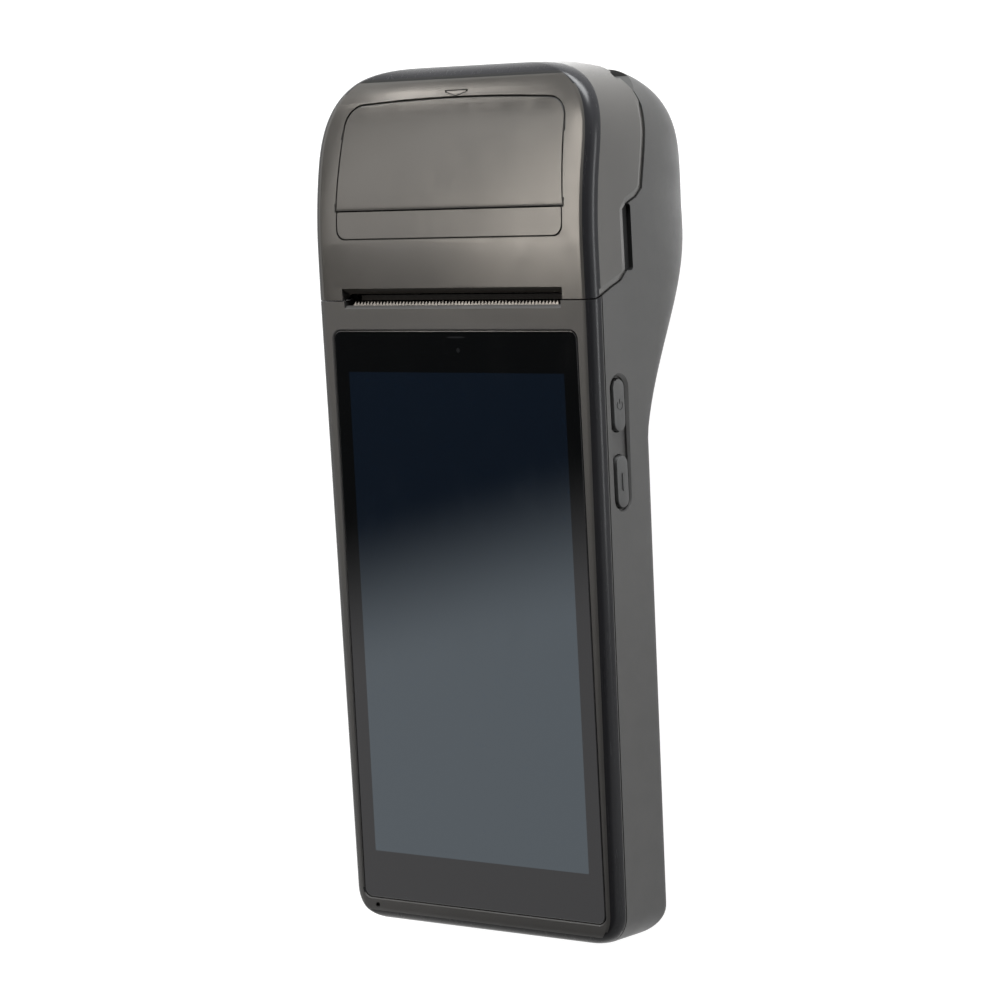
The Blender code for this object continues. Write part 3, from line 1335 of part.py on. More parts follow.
def lid_inner_frame():
    """A cross plate under the lid's face, with an ear at each end for the platen's shaft."""
    low = TEAR_Y + INNER_FRAME_START
    high = low + INNER_FRAME_LENGTH
    front = -INNER_FRAME_DEPTH
    back = front - INNER_FRAME_THICKNESS
    outer = EAR_INNER_X + EAR_THICKNESS
    plate = block(-outer, outer, low, high, back, front)
    ear = [
        (PLATEN_Y - EAR_MARGIN, PLATEN_Z - EAR_MARGIN),
        (PLATEN_Y + EAR_MARGIN, PLATEN_Z - EAR_MARGIN),
        (low + EAR_MARGIN, back),
        (high, back),
        (high, front),
        (low, front),
        (PLATEN_Y + EAR_MARGIN, -WALL - 2 * GAP),
        (PLATEN_Y - EAR_MARGIN, -WALL - 2 * GAP),
    ]
    ears = both_sides(sweep(ear, "X", EAR_INNER_X, outer))
    shaft_room = circle((PLATEN_Y, PLATEN_Z), SHAFT_RADIUS + RUNNING_GAP, SMALL_ROUND_STEPS)
    reach = outer + OVERRUN
    outlines = [circle(place, SMALL_SCREW_RADIUS + GAP, SMALL_ROUND_STEPS) for place in lid_screw_places()]
    holes = joined([sweep(outline, "Z", back - OVERRUN, front + OVERRUN) for outline in outlines])
    return cut(fused(plate, ears), sweep(shaft_room, "X", -reach, reach), holes)


def lid_screws():
    low = -INNER_FRAME_DEPTH - INNER_FRAME_THICKNESS - GAP - SMALL_HEAD_HEIGHT
    high = -INNER_FRAME_DEPTH + LID_SCREW_LENGTH - GAP
    sizes = (SMALL_SCREW_RADIUS, SMALL_HEAD_RADIUS, SMALL_HEAD_HEIGHT)
    return [screw(place, low, high, *sizes) for place in lid_screw_places()]


# Print head, printer frame, motor and paper bay
def head_face_y():
    return PLATEN_Y - PLATEN_RADIUS - GAP


def print_head():
    face = head_face_y()
    top = -HEAD_TOP_DEPTH
    return block(-PAPER_HALF_WIDTH, PAPER_HALF_WIDTH, face - HEAD_THICKNESS, face, top - HEAD_HEIGHT, top)


def heat_sink():
    face = head_face_y() - HEAD_THICKNESS - GAP
    top = -HEAD_TOP_DEPTH
    side = PAPER_HALF_WIDTH
    return block(-side, side, face - HEAT_SINK_THICKNESS, face, top - HEAT_SINK_HEIGHT, top)


def cross_plate_y():
    return TEAR_Y - CROSS_PLATE_FROM_TEAR


def head_springs():
    """Springs that press the print head on the platen."""
    start = cross_plate_y() + CROSS_PLATE_THICKNESS + GAP + HEAD_SPRING_WIRE
    end = head_face_y() - HEAD_THICKNESS - GAP - HEAT_SINK_THICKNESS - GAP - HEAD_SPRING_WIRE
    middle = -HEAD_TOP_DEPTH - HEAD_HEIGHT / 2
    springs = []
    for x in (-HEAD_SPRING_X, HEAD_SPRING_X):
        place, size = (x, middle), (HEAD_SPRING_RADIUS, HEAD_SPRING_WIRE, HEAD_SPRING_TURNS)
        springs.append(coil(place, "Y", start, end, *size))
    return springs


def notch_cut():
    """The open seat of a platen bush, which lets it leave as the lid swings up."""
    centre = (PLATEN_Y, PLATEN_Z)
    radius = BUSH_RADIUS + NOTCH_CLEARANCE
    angle = exit_direction()
    far = 2 * PLATEN_DEPTH
    seat = arc(centre, radius, angle + RIGHT_ANGLE, angle + RIGHT_ANGLE + STRAIGHT_ANGLE, ROUND_STEPS // 2)
    left = along_angle(seat[0], angle, far)
    widening = NOTCH_WIDENING * far / PLATEN_DEPTH
    right = along_angle(along_angle(seat[-1], angle, far), angle - RIGHT_ANGLE, widening)
    return seat + [right, left]


def printer_frame():
    """Two side plates and a cross plate, with bush seats, motor hole and idler post."""
    top = -PLATE_TOP_DEPTH
    back_y = cross_plate_y()
    motor = motor_centre()
    idler = idler_centre()
    outline = [
        (back_y - CROSS_PLATE_THICKNESS, top),
        (back_y - CROSS_PLATE_THICKNESS, motor[1] + MOTOR_RADIUS),
        (motor[0] - MOTOR_RADIUS, motor[1] + MOTOR_RADIUS / 2),
        (motor[0] - MOTOR_RADIUS, motor[1] - MOTOR_RADIUS / 2),
        (motor[0] - MOTOR_RADIUS / 2, motor[1] - MOTOR_RADIUS),
        (motor[0] + MOTOR_RADIUS / 2, motor[1] - MOTOR_RADIUS),
        (idler[0] + 3 * IDLER_POST_RADIUS, idler[1] - 2 * IDLER_POST_RADIUS),
        (PLATEN_Y + BUSH_RADIUS + EAR_MARGIN, PLATEN_Z - BUSH_RADIUS - EAR_MARGIN),
        (PLATEN_Y + BUSH_RADIUS + EAR_MARGIN, PLATEN_Z - BUSH_RADIUS),
        (PLATEN_Y + BUSH_RADIUS + EAR_MARGIN / 2, top),
    ]
    outer = PLATE_INNER_X + PLATE_THICKNESS
    plates = both_sides(sweep(outline, "X", PLATE_INNER_X, outer))
    cross = block(
        -PLATE_INNER_X - GAP, PLATE_INNER_X + GAP, back_y, back_y + CROSS_PLATE_THICKNESS,
        top - CROSS_PLATE_HEIGHT, top,
    )
    post_outline = circle(idler, IDLER_POST_RADIUS, SMALL_ROUND_STEPS)
    post = sweep(post_outline, "X", outer - GAP, GEAR_INNER_X + GEAR_WIDTH + GAP)
    notches = both_sides(sweep(notch_cut(), "X", PLATE_INNER_X - GAP, outer + GAP))
    shaft_outline = circle(motor, MOTOR_SHAFT_RADIUS + RUNNING_GAP, SMALL_ROUND_STEPS)
    shaft_hole = sweep(shaft_outline, "X", PLATE_INNER_X - GAP, outer + GAP)
    return fused(cut(fused(plates, cross), notches, shaft_hole), post)


def feed_motor():
    centre = motor_centre()
    right = PLATE_INNER_X - GAP
    can = sweep(circle(centre, MOTOR_RADIUS), "X", right - MOTOR_LENGTH, right)
    shaft_outline = circle(centre, MOTOR_SHAFT_RADIUS + RUNNING_GAP, SMALL_ROUND_STEPS)
    return cut(can, sweep(shaft_outline, "X", right - MOTOR_SHAFT_SEAT - GAP, right + OVERRUN))


def bay_outline(radius, rim):
    """Half-round trough with upright sides, as an outline (y, z)."""
    trough = arc((BAY_Y, BAY_Z), radius, STRAIGHT_ANGLE, FULL_ANGLE, ROUND_STEPS)
    return trough + [(BAY_Y + radius, rim), (BAY_Y - radius, rim)]


def latch_stud_centre():
    return (BAY_Y - LATCH_STUD_FROM_ROLL, -LATCH_STUD_DEPTH)


def paper_bay():
    """The trough for the paper roll, with a latch stud on each end wall."""
    trough = sweep(bay_outline(BAY_OUTER_RADIUS, -BAY_RIM_DEPTH), "X", -BAY_HALF_WIDTH, BAY_HALF_WIDTH)
    inner = BAY_HALF_WIDTH - BAY_WALL
    room = sweep(bay_outline(ROLL_RADIUS, OVERRUN), "X", -inner, inner)
    y, z = latch_stud_centre()
    ends = (y - LATCH_LUG_HALF_WIDTH, y + LATCH_LUG_HALF_WIDTH)
    lug = block(inner, BAY_HALF_WIDTH, *ends, -BAY_RIM_DEPTH - GAP, -BAY_RIM_DEPTH + LATCH_LUG_RISE)
    stud_outline = circle((y, z), LATCH_STUD_RADIUS, SMALL_ROUND_STEPS)
    stud = sweep(stud_outline, "X", inner + GAP, BAY_HALF_WIDTH + LATCH_STUD_LENGTH)
    return fused(cut(trough, room), both_sides(fused(lug, stud)))


def paper_sensor():
    right = BAY_Y - BAY_OUTER_RADIUS - GAP
    top = -BAY_RIM_DEPTH - GAP
    side = SENSOR_HALF_WIDTH
    return block(-side, side, right - SENSOR_THICKNESS, right, top - SENSOR_HEIGHT, top)


# Resting on a table
def lay_on_back(root, heel_end):
    """Tilts the terminal so that its heel and its rounded back both touch the table."""
    bpy.context.view_layer.update()
    points = [vertex.co for vertex in bpy.data.objects["rear_shell"].data.vertices]
    heel = [(point.y, point.z) for point in points if point.y < heel_end]
    bulge = [(point.y, point.z) for point in points if point.y >= heel_end]
    low, high = 0.0, RIGHT_ANGLE / 2
    for _ in range(TILT_STEPS):
        tilt = math.radians((low + high) / 2)
        heights = [min(y * math.sin(tilt) + z * math.cos(tilt) for y, z in group) for group in (heel, bulge)]
        if heights[0] > heights[1]:
            low = (low + high) / 2
        else:
            high = (low + high) / 2
    root.rotation_euler = (math.radians(low), 0.0, 0.0)
    bpy.context.view_layer.update()
    corners = []
    for part in bpy.data.objects:
        if part.type == "MESH":
            corners += [part.matrix_world @ vertex.co for vertex in part.data.vertices]
    across = [point.x for point in corners]
    along = [point.y for point in corners]
    low_z = min(point.z for point in corners)
    root.location = (-(min(across) + max(across)) / 2, -(min(along) + max(along)) / 2, -low_z)


def build():
    for thing in list(bpy.data.objects):
        bpy.data.objects.remove(thing)
    root = made_pivot("terminal", (0.0, 0.0, 0.0), None)
    add_part("rear_shell", rear_shell(), "case_plastic", root)
    add_part("front_frame", front_frame(), "case_plastic", root)
    add_part("touch_glass", touch_glass(), "cover_glass", root)
    add_part("lcd_panel", lcd_panel(), "display", root)
    add_part("light_sensor", light_sensor(), "inner_plastic", root)
    add_part("tear_bar", tear_bar(), "steel", root)
    add_part("chassis", chassis(), "inner_plastic", root)
    add_part("main_board", main_board(), "circuit_board", root)
    add_copies("shield_can", shield_cans(), "steel", root)
    add_part("battery_pack", battery_pack(), "battery_wrap", root)
    add_part("battery_cover", battery_cover(), "case_plastic", root)
    add_copies("cover_screw", cover_screws(), "steel", root)
    add_copies("case_screw", case_screws(), "steel", root)
    add_part("speaker", speaker(), "inner_plastic", root)
    add_part("charging_port", charging_port(), "steel", root)
    add_part("key_board", key_board(), "circuit_board", root)
    lower, upper = key_middles()
    add_part("function_switch", tact_switch(lower), "steel", root)
    add_part("power_switch", tact_switch(upper), "steel", root)
    add_part("printer_frame", printer_frame(), "steel", root)
    add_part("print_head", print_head(), "ceramic", root)
    add_part("heat_sink", heat_sink(), "aluminium", root)
    add_copies("head_spring", head_springs(), "steel", root)
    add_part("feed_motor", feed_motor(), "steel", root)
    add_part("paper_bay", paper_bay(), "inner_plastic", root)
    add_part("paper_sensor", paper_sensor(), "inner_plastic", root)
    add_part("lid_hinge_pin", hinge_pin(), "steel", root)

    lid_place = (0.0, HINGE_Y, HINGE_Z)
    lid_axis = made_pivot("lid_axis", lid_place, root)
    for name, mesh, material in (
        ("printer_lid", printer_lid(), "lid_plastic"),
        ("lid_inner_frame", lid_inner_frame(), "inner_plastic"),
        ("lever_pin", lever_pin(), "steel"),
        ("lever_spring", lever_spring(), "steel"),
    ):
        add_part(name, mesh, material, lid_axis, lid_place)
    add_copies("lid_screw", lid_screws(), "steel", lid_axis, lid_place)
    add_copies("platen_bush", platen_bushes(), "gear_plastic", lid_axis, lid_place)

    lever_place = (0.0, LEVER_AXIS_Y, lever_axis_z())
    lever_axis = made_pivot("lever_axis", lever_place, lid_axis, lid_place)
    add_part("release_lever", release_lever(), "lid_plastic", lever_axis, lever_place)

    platen_place = (0.0, PLATEN_Y, PLATEN_Z)
    platen_axis = made_pivot("platen_axis", platen_place, lid_axis, lid_place)
    add_part("platen_roller", platen_roller(), "rubber", platen_axis, platen_place)
    add_part("platen_shaft", platen_shaft(), "steel", platen_axis, platen_place)
    add_part("platen_gear", platen_gear(), "gear_plastic", platen_axis, platen_place)

    for name, mesh, material, place in (
        ("idler_gear", idler_gear(), "gear_plastic", (0.0, *idler_centre())),
        ("motor_pinion", motor_pinion(), "gear_plastic", (0.0, *motor_centre())),
        ("function_key", side_key(lower, True), "key_plastic", (key_wall_x(), *lower)),
        ("power_key", side_key(upper, False), "key_plastic", (key_wall_x(), *upper)),
    ):
        add_part(name, mesh, material, made_pivot(name + "_axis", place, root), place)

    lay_on_back(root, BULGE_START_Y)


build()
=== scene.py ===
"""Handheld payment terminal: shells, glass, keys, finishes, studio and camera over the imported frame.

Shapes are drawn in the terminal's own axes, X to the right of the screen, Y from the screen's
centre towards the printer, Z out of the screen, and each mesh is then placed in the row's frame.
"""

import math

import bmesh
import bpy
import numpy as np
from bpy.props import FloatProperty, FloatVectorProperty, IntProperty, PointerProperty
from mathutils import Matrix, Vector


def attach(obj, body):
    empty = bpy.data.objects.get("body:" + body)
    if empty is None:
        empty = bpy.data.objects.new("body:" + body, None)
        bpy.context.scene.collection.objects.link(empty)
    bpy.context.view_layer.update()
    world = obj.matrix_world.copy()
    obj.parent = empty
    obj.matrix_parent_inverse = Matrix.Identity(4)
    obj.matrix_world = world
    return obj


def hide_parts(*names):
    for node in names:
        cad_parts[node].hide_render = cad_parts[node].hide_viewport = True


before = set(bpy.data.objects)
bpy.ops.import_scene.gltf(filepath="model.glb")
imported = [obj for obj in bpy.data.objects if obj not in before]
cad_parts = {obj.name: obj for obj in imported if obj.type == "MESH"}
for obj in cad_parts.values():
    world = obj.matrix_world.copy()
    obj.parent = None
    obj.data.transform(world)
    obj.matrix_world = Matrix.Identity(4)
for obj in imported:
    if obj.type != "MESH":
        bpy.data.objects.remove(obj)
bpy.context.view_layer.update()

bl_info = {
    "name": "Handheld Payment Terminal",
    "version": (1, 0, 0),
    "blender": (4, 5, 0),
    "location": "View3D > Sidebar > Terminal",
    "description": "Shells, glass, keys, printer lid, finishes and studio of a handheld payment terminal",
    "category": "Object",
}

MM = 0.001
RIGHT_ANGLE = 90.0
STRAIGHT_ANGLE = 180.0
OVERRUN = 6.0 * MM
GAP = 0.3 * MM

# Front face
GLASS_HALF_WIDTH = 35.05 * MM
GLASS_BOTTOM_Y = -66.2 * MM
GLASS_TOP_Y = 64.6 * MM
GLASS_CORNER = 2.0 * MM
GLASS_THICKNESS = 1.1 * MM
GLASS_RECESS = 0.15 * MM
GLASS_WINDOWS = (((1.5 * MM, 60.2 * MM), 1.1 * MM, 1.1 * MM), ((1.0 * MM, 63.1 * MM), 6.0 * MM, 0.5 * MM))
DISPLAY_HALF_WIDTH = 31.05 * MM
DISPLAY_HALF_HEIGHT = 55.2 * MM
BOTTOM_Y = -71.3 * MM
TEAR_Y = 71.3 * MM
TOP_Y = 122.8 * MM
GRIP_HALF_WIDTH = 38.4 * MM
PRINTER_HALF_WIDTH = 40.0 * MM
TOP_EDGE_HALF_WIDTH = 14.0 * MM
TOP_TAPER_LENGTH = 22.8 * MM
TOP_TAPER_EXPONENT = 3.0
FACE_BEND_Y = 82.0 * MM
FACE_BEND_RADIUS = 105.0 * MM
EDGE_RADIUS = 3.0 * MM
BOTTOM_CORNER = 7.0 * MM
HEEL_RADIUS = 6.0 * MM
DISPLAY_CORNER = 0.3 * MM
GLASS_POCKET_EASE = 0.25 * MM
WALL = 2.0 * MM
FRAME_THICKNESS = 3.2 * MM
LEDGE_WIDTH = 1.7 * MM

# Back of the housing
SIDE_DEPTH = 17.0 * MM
GRIP_BACK_DROP = 1.7 * MM
BULGE_DEPTH = 34.83 * MM
BULGE_START_Y = 32.1 * MM
BULGE_PEAK_Y = 89.5 * MM
BULGE_END_Y = 122.0 * MM
BULGE_RISE_EXPONENT = 1.8
BULGE_RAMP_EXPONENT = 1.5
BULGE_CROWN_EXPONENT = 1.7
GRIP_SECTION_EXPONENT = 8.0
BULGE_SECTION_EXPONENT = 2.85
INNER_BACK = -16.7 * MM

# Side seam between lid and rear shell, as shares of the lid's length and the seam's depth
SEAM_DEPTH = 22.3 * MM
SEAM_SHARES = (
    (0.004, 0.067), (0.020, 0.180), (0.045, 0.314), (0.068, 0.462), (0.103, 0.556), (0.363, 0.556),
    (0.388, 0.619), (0.414, 0.771), (0.445, 0.861), (0.691, 0.973), (0.790, 1.000), (0.854, 0.978),
)
GROOVE_HEIGHT = 2.2 * MM
GROOVE_DEPTH = 1.2 * MM
GROOVE_CORNER = 0.8 * MM
GROOVE_START_SHARE = 0.103
GROOVE_END_SHARE = 0.385
SEAM_BEVEL = 1.4 * MM
SEAM_BEVEL_DEPTH = 0.35 * MM

# Lid, hinge and slot
HINGE_Y = 118.6 * MM
HINGE_Z = -20.5 * MM
HINGE_RADIUS = 2.6 * MM
HINGE_HALF_WIDTH = 24.0 * MM
HINGE_LUG_WIDTH = 4.2 * MM
HINGE_PIN_RADIUS = 0.9 * MM
HINGE_RELIEF = 4.0 * MM
LUG_ROOT_LENGTH = 5.0 * MM
LUG_ROOT_DEPTH = 6.0 * MM
SLOT_HALF_WIDTH = 31.7 * MM
SLOT_CORNER = 1.8 * MM
SLOT_LIP = 1.5 * MM
SLOT_CHAMFER = 1.3 * MM
SLOT_CHAMFER_DEPTH = 1.7 * MM
TEAR_CHAMFER_HALF_WIDTH = 31.2 * MM
TEAR_CHAMFER = 0.7 * MM
TEAR_CHAMFER_DEPTH = 0.8 * MM
TEAR_CHAMFER_FROM_SEAM = 1.1 * MM
TEAR_BAR_HALF_WIDTH = 29.6 * MM
TEAR_BAR_LENGTH = 5.0 * MM
TEAR_BAR_THICKNESS = 0.5 * MM
TEAR_LIP = 1.0 * MM
TOOTH_DEPTH = 0.8 * MM
TOOTH_TIP = 0.08 * MM
TOOTH_BEVEL_SHARE = 0.6

# Release lever
LEVER_Y = 91.5 * MM
LEVER_HALF_WIDTH = 32.6 * MM
LEVER_TOP_HALF_WIDTH = 31.6 * MM
LEVER_HEIGHT = 24.3 * MM
LEVER_CORNER = 5.0 * MM
LEVER_ARCH = 0.8 * MM
LEVER_THICKNESS = 2.2 * MM
LEVER_FLOOR = 1.5 * MM
LEVER_WINDOW = 7.0 * MM
LEVER_BARREL_RADIUS = 1.7 * MM
LEVER_HEEL_RADIUS = 0.3 * MM
LEVER_HEEL_GAP = 0.2 * MM
LEVER_HEEL_LIP = 0.3 * MM
LEVER_HEEL_ROOM = 0.6 * MM
LEVER_PIN_RADIUS = 0.5 * MM
LEVER_PIN_REACH = 35.2 * MM
LEVER_BOSS_WIDTH = 2.0 * MM
LEVER_BOSS_RADIUS = 1.6 * MM
LEVER_ARM_INNER = 30.9 * MM
LEVER_ARM_THICKNESS = 1.6 * MM
LEVER_ARM_LENGTH = 11.6 * MM
LEVER_ARM_WIDTH = 2.6 * MM
LEVER_NOSE = 1.6 * MM
LEVER_NOSE_THICKNESS = 1.3 * MM
LEVER_SPRING_ROOM = 3.3 * MM
LEVER_SKIN = 0.7 * MM
LEVER_UNDERCUT_SHARE = 0.25
LEVER_EASE = 0.12 * MM
LEVER_POCKET_EASE = 0.1 * MM
LEVER_POCKET_REACH = 20.0 * MM
LEVER_AXIS_Y = LEVER_Y + LEVER_BARREL_RADIUS
PANEL_LINE_Y = 85.0 * MM
PANEL_LINE_CORNER = 2.4 * MM
PANEL_LINE_WIDTH = 0.35 * MM
PANEL_LINE_DEPTH = 0.3 * MM
CHEVRON_Y = 117.6 * MM
CHEVRON_HALF_WIDTH = 3.3 * MM
CHEVRON_HEIGHT = 1.5 * MM
CHEVRON_SHOULDER = 0.55 * MM
CHEVRON_LINE = 0.25 * MM

# Side keys
RECESS_BOTTOM_Y = 24.2 * MM
RECESS_TOP_Y = 54.5 * MM
RECESS_FRONT_DEPTH = 4.9 * MM
RECESS_HEIGHT = 6.4 * MM
RECESS_CUT = 1.0 * MM
RECESS_EASE = 0.5 * MM
KEY_LENGTH = 11.4 * MM
KEY_HEIGHT = 3.9 * MM
KEY_END_MARGIN = 1.1 * MM
KEY_FLANGE = 0.8 * MM
KEY_FLANGE_THICKNESS = 0.7 * MM
KEY_PROUD = 0.1 * MM
KEY_STEM_RADIUS = 0.9 * MM
KEY_STEM_LENGTH = 0.9 * MM
KEY_BAR_HEIGHT = 0.25 * MM
KEY_BAR_LENGTH = 4.0 * MM
KEY_BAR_WIDTH = 0.8 * MM
KEY_EASE = 0.3 * MM
POWER_LINE = 0.28 * MM
POWER_DEPTH = 0.12 * MM
POWER_RADIUS = 0.95 * MM
POWER_OPENING = 45.0
POWER_STROKE_START = 0.25 * MM
POWER_STROKE_END = 1.35 * MM

# Openings in the shells
PORT_Y = 35.0 * MM
PORT_Z = -10.1 * MM
PORT_WIDTH = 8.9 * MM
PORT_HEIGHT = 3.2 * MM
PORT_EASE = 0.35 * MM
MIC_X = -31.2 * MM
MIC_Y = -67.9 * MM
MIC_RADIUS = 0.5 * MM
MIC_DEPTH = 1.6 * MM
MIC_FLARE = 1.3
MIC_FLARE_DEPTH = 0.1 * MM
GRILLE_X = -11.0 * MM
GRILLE_Y = 18.0 * MM
GRILLE_SLOTS = 5
GRILLE_WIDTH = 1.2 * MM
GRILLE_LENGTH = 11.0 * MM
GRILLE_PITCH = 2.6 * MM
COVER_HALF_WIDTH = 33.0 * MM
COVER_BOTTOM_Y = -63.5 * MM
COVER_TOP_Y = 5.5 * MM
COVER_THICKNESS = 0.9 * MM
COVER_CORNER = 4.0 * MM
COVER_BACK = -18.65 * MM
COVER_SEAT_EASE = 0.3 * MM
COVER_SCREW_X = 30.6 * MM
COVER_SCREW_YS = (-56.5 * MM, -1.5 * MM)
COVER_BOSS_HEIGHT = 2.5 * MM
COVER_BOSS_RADIUS = 1.9 * MM
BAY_HALF_WIDTH = 28.6 * MM
BAY_BOTTOM_Y = -60.6 * MM
BAY_TOP_Y = 2.6 * MM
BAY_CORNER = 3.0 * MM
CASE_SCREW_X = 32.4 * MM
CASE_SCREW_YS = (-65.2 * MM, 12.0 * MM)
CASE_BOSS_RADIUS = 2.6 * MM
CASE_BOSS_TOP = 7.8 * MM
SCREW_RADIUS = 0.9 * MM
SCREW_HEAD_RADIUS = 1.7 * MM
SCREW_HEAD_HEIGHT = 1.0 * MM
SCREW_SINK = 0.3 * MM
CASE_SCREW_TIP_DEPTH = 5.3 * MM
COVER_SCREW_HEAD = 0.25 * MM
COVER_SCREW_PLAY = 0.1 * MM
SCREW_EASE_SHARE = 0.35
CROSS_ARM_SHARE = 0.6
CROSS_WIDTH_SHARE = 0.16
CROSS_DEPTH_SHARE = 0.7
CROSS_DEEPEST = 0.6 * MM
LID_SCREW_SPACING = 22.0 * MM
LID_SCREW_Y = 87.15 * MM
LID_SCREW_TOP = -2.0 * MM
SMALL_SCREW_RADIUS = 0.7 * MM

# An eased edge has a middle point at this share of its width, in from the corner
EASE_MIDDLE = 0.3

# How the faces with a finish of their own are told: depths below the face, and how far they face the front
EDGE_TOP = GAP / 6
EDGE_DEPTH = 1.3 * EDGE_RADIUS
EDGE_FACING_LOW = 0.07
EDGE_FACING_HIGH = 0.96
LINE_TOP = 0.03 * MM
GROOVE_MARGIN = 0.05 * MM
LEVER_EDGE_FACING = 0.85
GLASS_FACING = 0.97

# Fineness of round forms
CORNER_STEPS = 12
EDGE_STEPS = 10
BACK_STEPS = 22
END_STEPS = 12
RAMP_STEPS = 20
TOP_STEPS = 34
ROUND_STEPS = 40
SMALL_ROUND_STEPS = 24
SCREW_STEPS = 28
RING_STEPS = 30
LEVER_HEEL_STEPS = 6
FACE_STEPS = 24
MERGE_DISTANCE = 0.002 * MM
SMOOTH_ANGLE = 32.0
GLASS_SMOOTH_ANGLE = 15.0

# Camera as fitted to the photograph
FOCAL_PIXELS = 3832.317
FRAME_PIXELS = 1000.0
SENSOR_WIDTH_MM = 36.0
CAMERA_YAW = 0.688209
CAMERA_PITCH = 0.106784
CAMERA_ROLL = -0.051814
CAMERA_OFFSET_MM = (-7.443054, 26.614169, 856.018451)
CLIP_START = 0.01
CLIP_END = 50.0

# Round studio floor with a rising wall, in metres, and the turn in degrees between the points of its bend
FLOOR_REACH = 2.2
FLOOR_WALL = 1.6
FLOOR_BEND = 0.5
FLOOR_BEND_STEP = 10
FLOOR_SIDES = 64
FLOOR_GREY = (0.82, 0.82, 0.82, 1.0)
WHITE = (1.0, 1.0, 1.0, 1.0)

# A lamp whose light runs more sideways than this has its width along the terminal's length
SIDEWAYS = 0.85

# Finishes
GLASS_IOR = 1.52
PRINT_WINDOW_COLOUR = (0.016, 0.017, 0.019, 1.0)
TRACK_PITCH = 4.0 * MM
TRACK_LINE = 0.06


# The terminal's own axes in the row's frame
def device_axes():
    """The matrix from the terminal's own axes to the row's frame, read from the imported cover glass."""
    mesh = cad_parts["touch_glass"].data
    points = np.array([vertex.co for vertex in mesh.vertices])
    best = max(mesh.polygons, key=lambda face: face.area * (face.normal.z > 0))
    tilt = math.atan2(-best.normal.y, best.normal.z)
    up = np.array((0.0, -math.sin(tilt), math.cos(tilt)))
    along = np.array((0.0, math.cos(tilt), math.sin(tilt)))
    low = (points @ along).min() - GLASS_BOTTOM_Y
    front = (points @ up).max() + GLASS_RECESS
    origin = low * along + front * up
    across = (1.0, 0.0, 0.0)
    rows = [(across[axis], along[axis], up[axis], origin[axis]) for axis in range(3)]
    return Matrix((*rows, (0.0, 0.0, 0.0, 1.0))), tilt


DEVICE, DEVICE_TILT = device_axes()


# Outlines
def arc(centre, radius, start, end, steps=CORNER_STEPS):
    """Points along an arc between two angles in degrees, both ends included."""
    angles = [math.radians(start + (end - start) * step / steps) for step in range(steps + 1)]
    return [(centre[0] + radius * math.cos(a), centre[1] + radius * math.sin(a)) for a in angles]


def circle(centre, radius, count=ROUND_STEPS):
    return arc(centre, radius, 0.0, 2 * STRAIGHT_ANGLE, count)[:-1]


def rectangle(left, right, bottom, top):
    return [(left, bottom), (right, bottom), (right, top), (left, top)]


def rounded_rectangle(left, right, bottom, top, radius, steps=CORNER_STEPS):
    corners = ((right, top), (left, top), (left, bottom), (right, bottom))
    points = []
    for turn, (x, y) in enumerate(corners):
        inward = (radius if x == left else -radius, radius if y == bottom else -radius)
        centre = (x + inward[0], y + inward[1])
        points += arc(centre, radius, turn * RIGHT_ANGLE, (turn + 1) * RIGHT_ANGLE, steps)
    return points


def stadium(middle, length, height):
    y, z = middle
    radius = height / 2
    straight = length / 2 - radius
    near = arc((y + straight, z), radius, -RIGHT_ANGLE, RIGHT_ANGLE, 2 * CORNER_STEPS)
    return near + arc((y - straight, z), radius, RIGHT_ANGLE, 3 * RIGHT_ANGLE, 2 * CORNER_STEPS)


def offset_path(points, distance):
    """An open path moved sideways, to its right when the distance is positive."""
    moved = []
    for index, (u, v) in enumerate(points):
        before = points[max(index - 1, 0)]
        after = points[min(index + 1, len(points) - 1)]
        along = math.hypot(after[0] - before[0], after[1] - before[1])
        right = ((after[1] - before[1]) / along, (before[0] - after[0]) / along)
        moved.append((u + distance * right[0], v + distance * right[1]))
    return moved


# Closed meshes and Booleans
PLACES = {
    "X": lambda u, v, along: (along, u, v),
    "Y": lambda u, v, along: (u, along, v),
    "Z": lambda u, v, along: (u, v, along),
}


def finished(shape):
    shape.normal_update()
    bmesh.ops.recalc_face_normals(shape, faces=shape.faces)
    mesh = bpy.data.meshes.new("form")
    shape.to_mesh(mesh)
    shape.free()
    return mesh


def skinned(loops):
    """A closed mesh through loops of points that all have the same count, with flat ends."""
    shape = bmesh.new()
    rings = [[shape.verts.new(point) for point in loop] for loop in loops]
    shape.faces.new(rings[0])
    shape.faces.new(rings[-1])
    for near, far in zip(rings, rings[1:]):
        for index in range(len(near)):
            shape.faces.new((near[index - 1], near[index], far[index], far[index - 1]))
    return finished(shape)


def sweep(outline, axis, low, high):
    """A closed mesh: an outline swept straight along an axis. For X the outline holds (y, z)."""
    place = PLACES[axis]
    return skinned([[place(u, v, low) for u, v in outline], [place(u, v, high) for u, v in outline]])


def stepped(profile, outline_at, axis):
    """A closed mesh through outlines at several places along an axis: profile holds (margin, along)."""
    place = PLACES[axis]
    return skinned([[place(u, v, along) for u, v in outline_at(margin)] for margin, along in profile])


def eased(face, ease):
    """The last steps of a profile whose edge is eased where it meets a face."""
    middle = ease * EASE_MIDDLE
    return (0.0, face - ease), (-middle, face - middle), (-ease, face)


def block(left, right, bottom, top, back, front):
    return sweep(rectangle(left, right, bottom, top), "Z", back, front)


def joined(meshes):
    shape = bmesh.new()
    for mesh in meshes:
        shape.from_mesh(mesh)
        bpy.data.meshes.remove(mesh)
    return finished(shape)


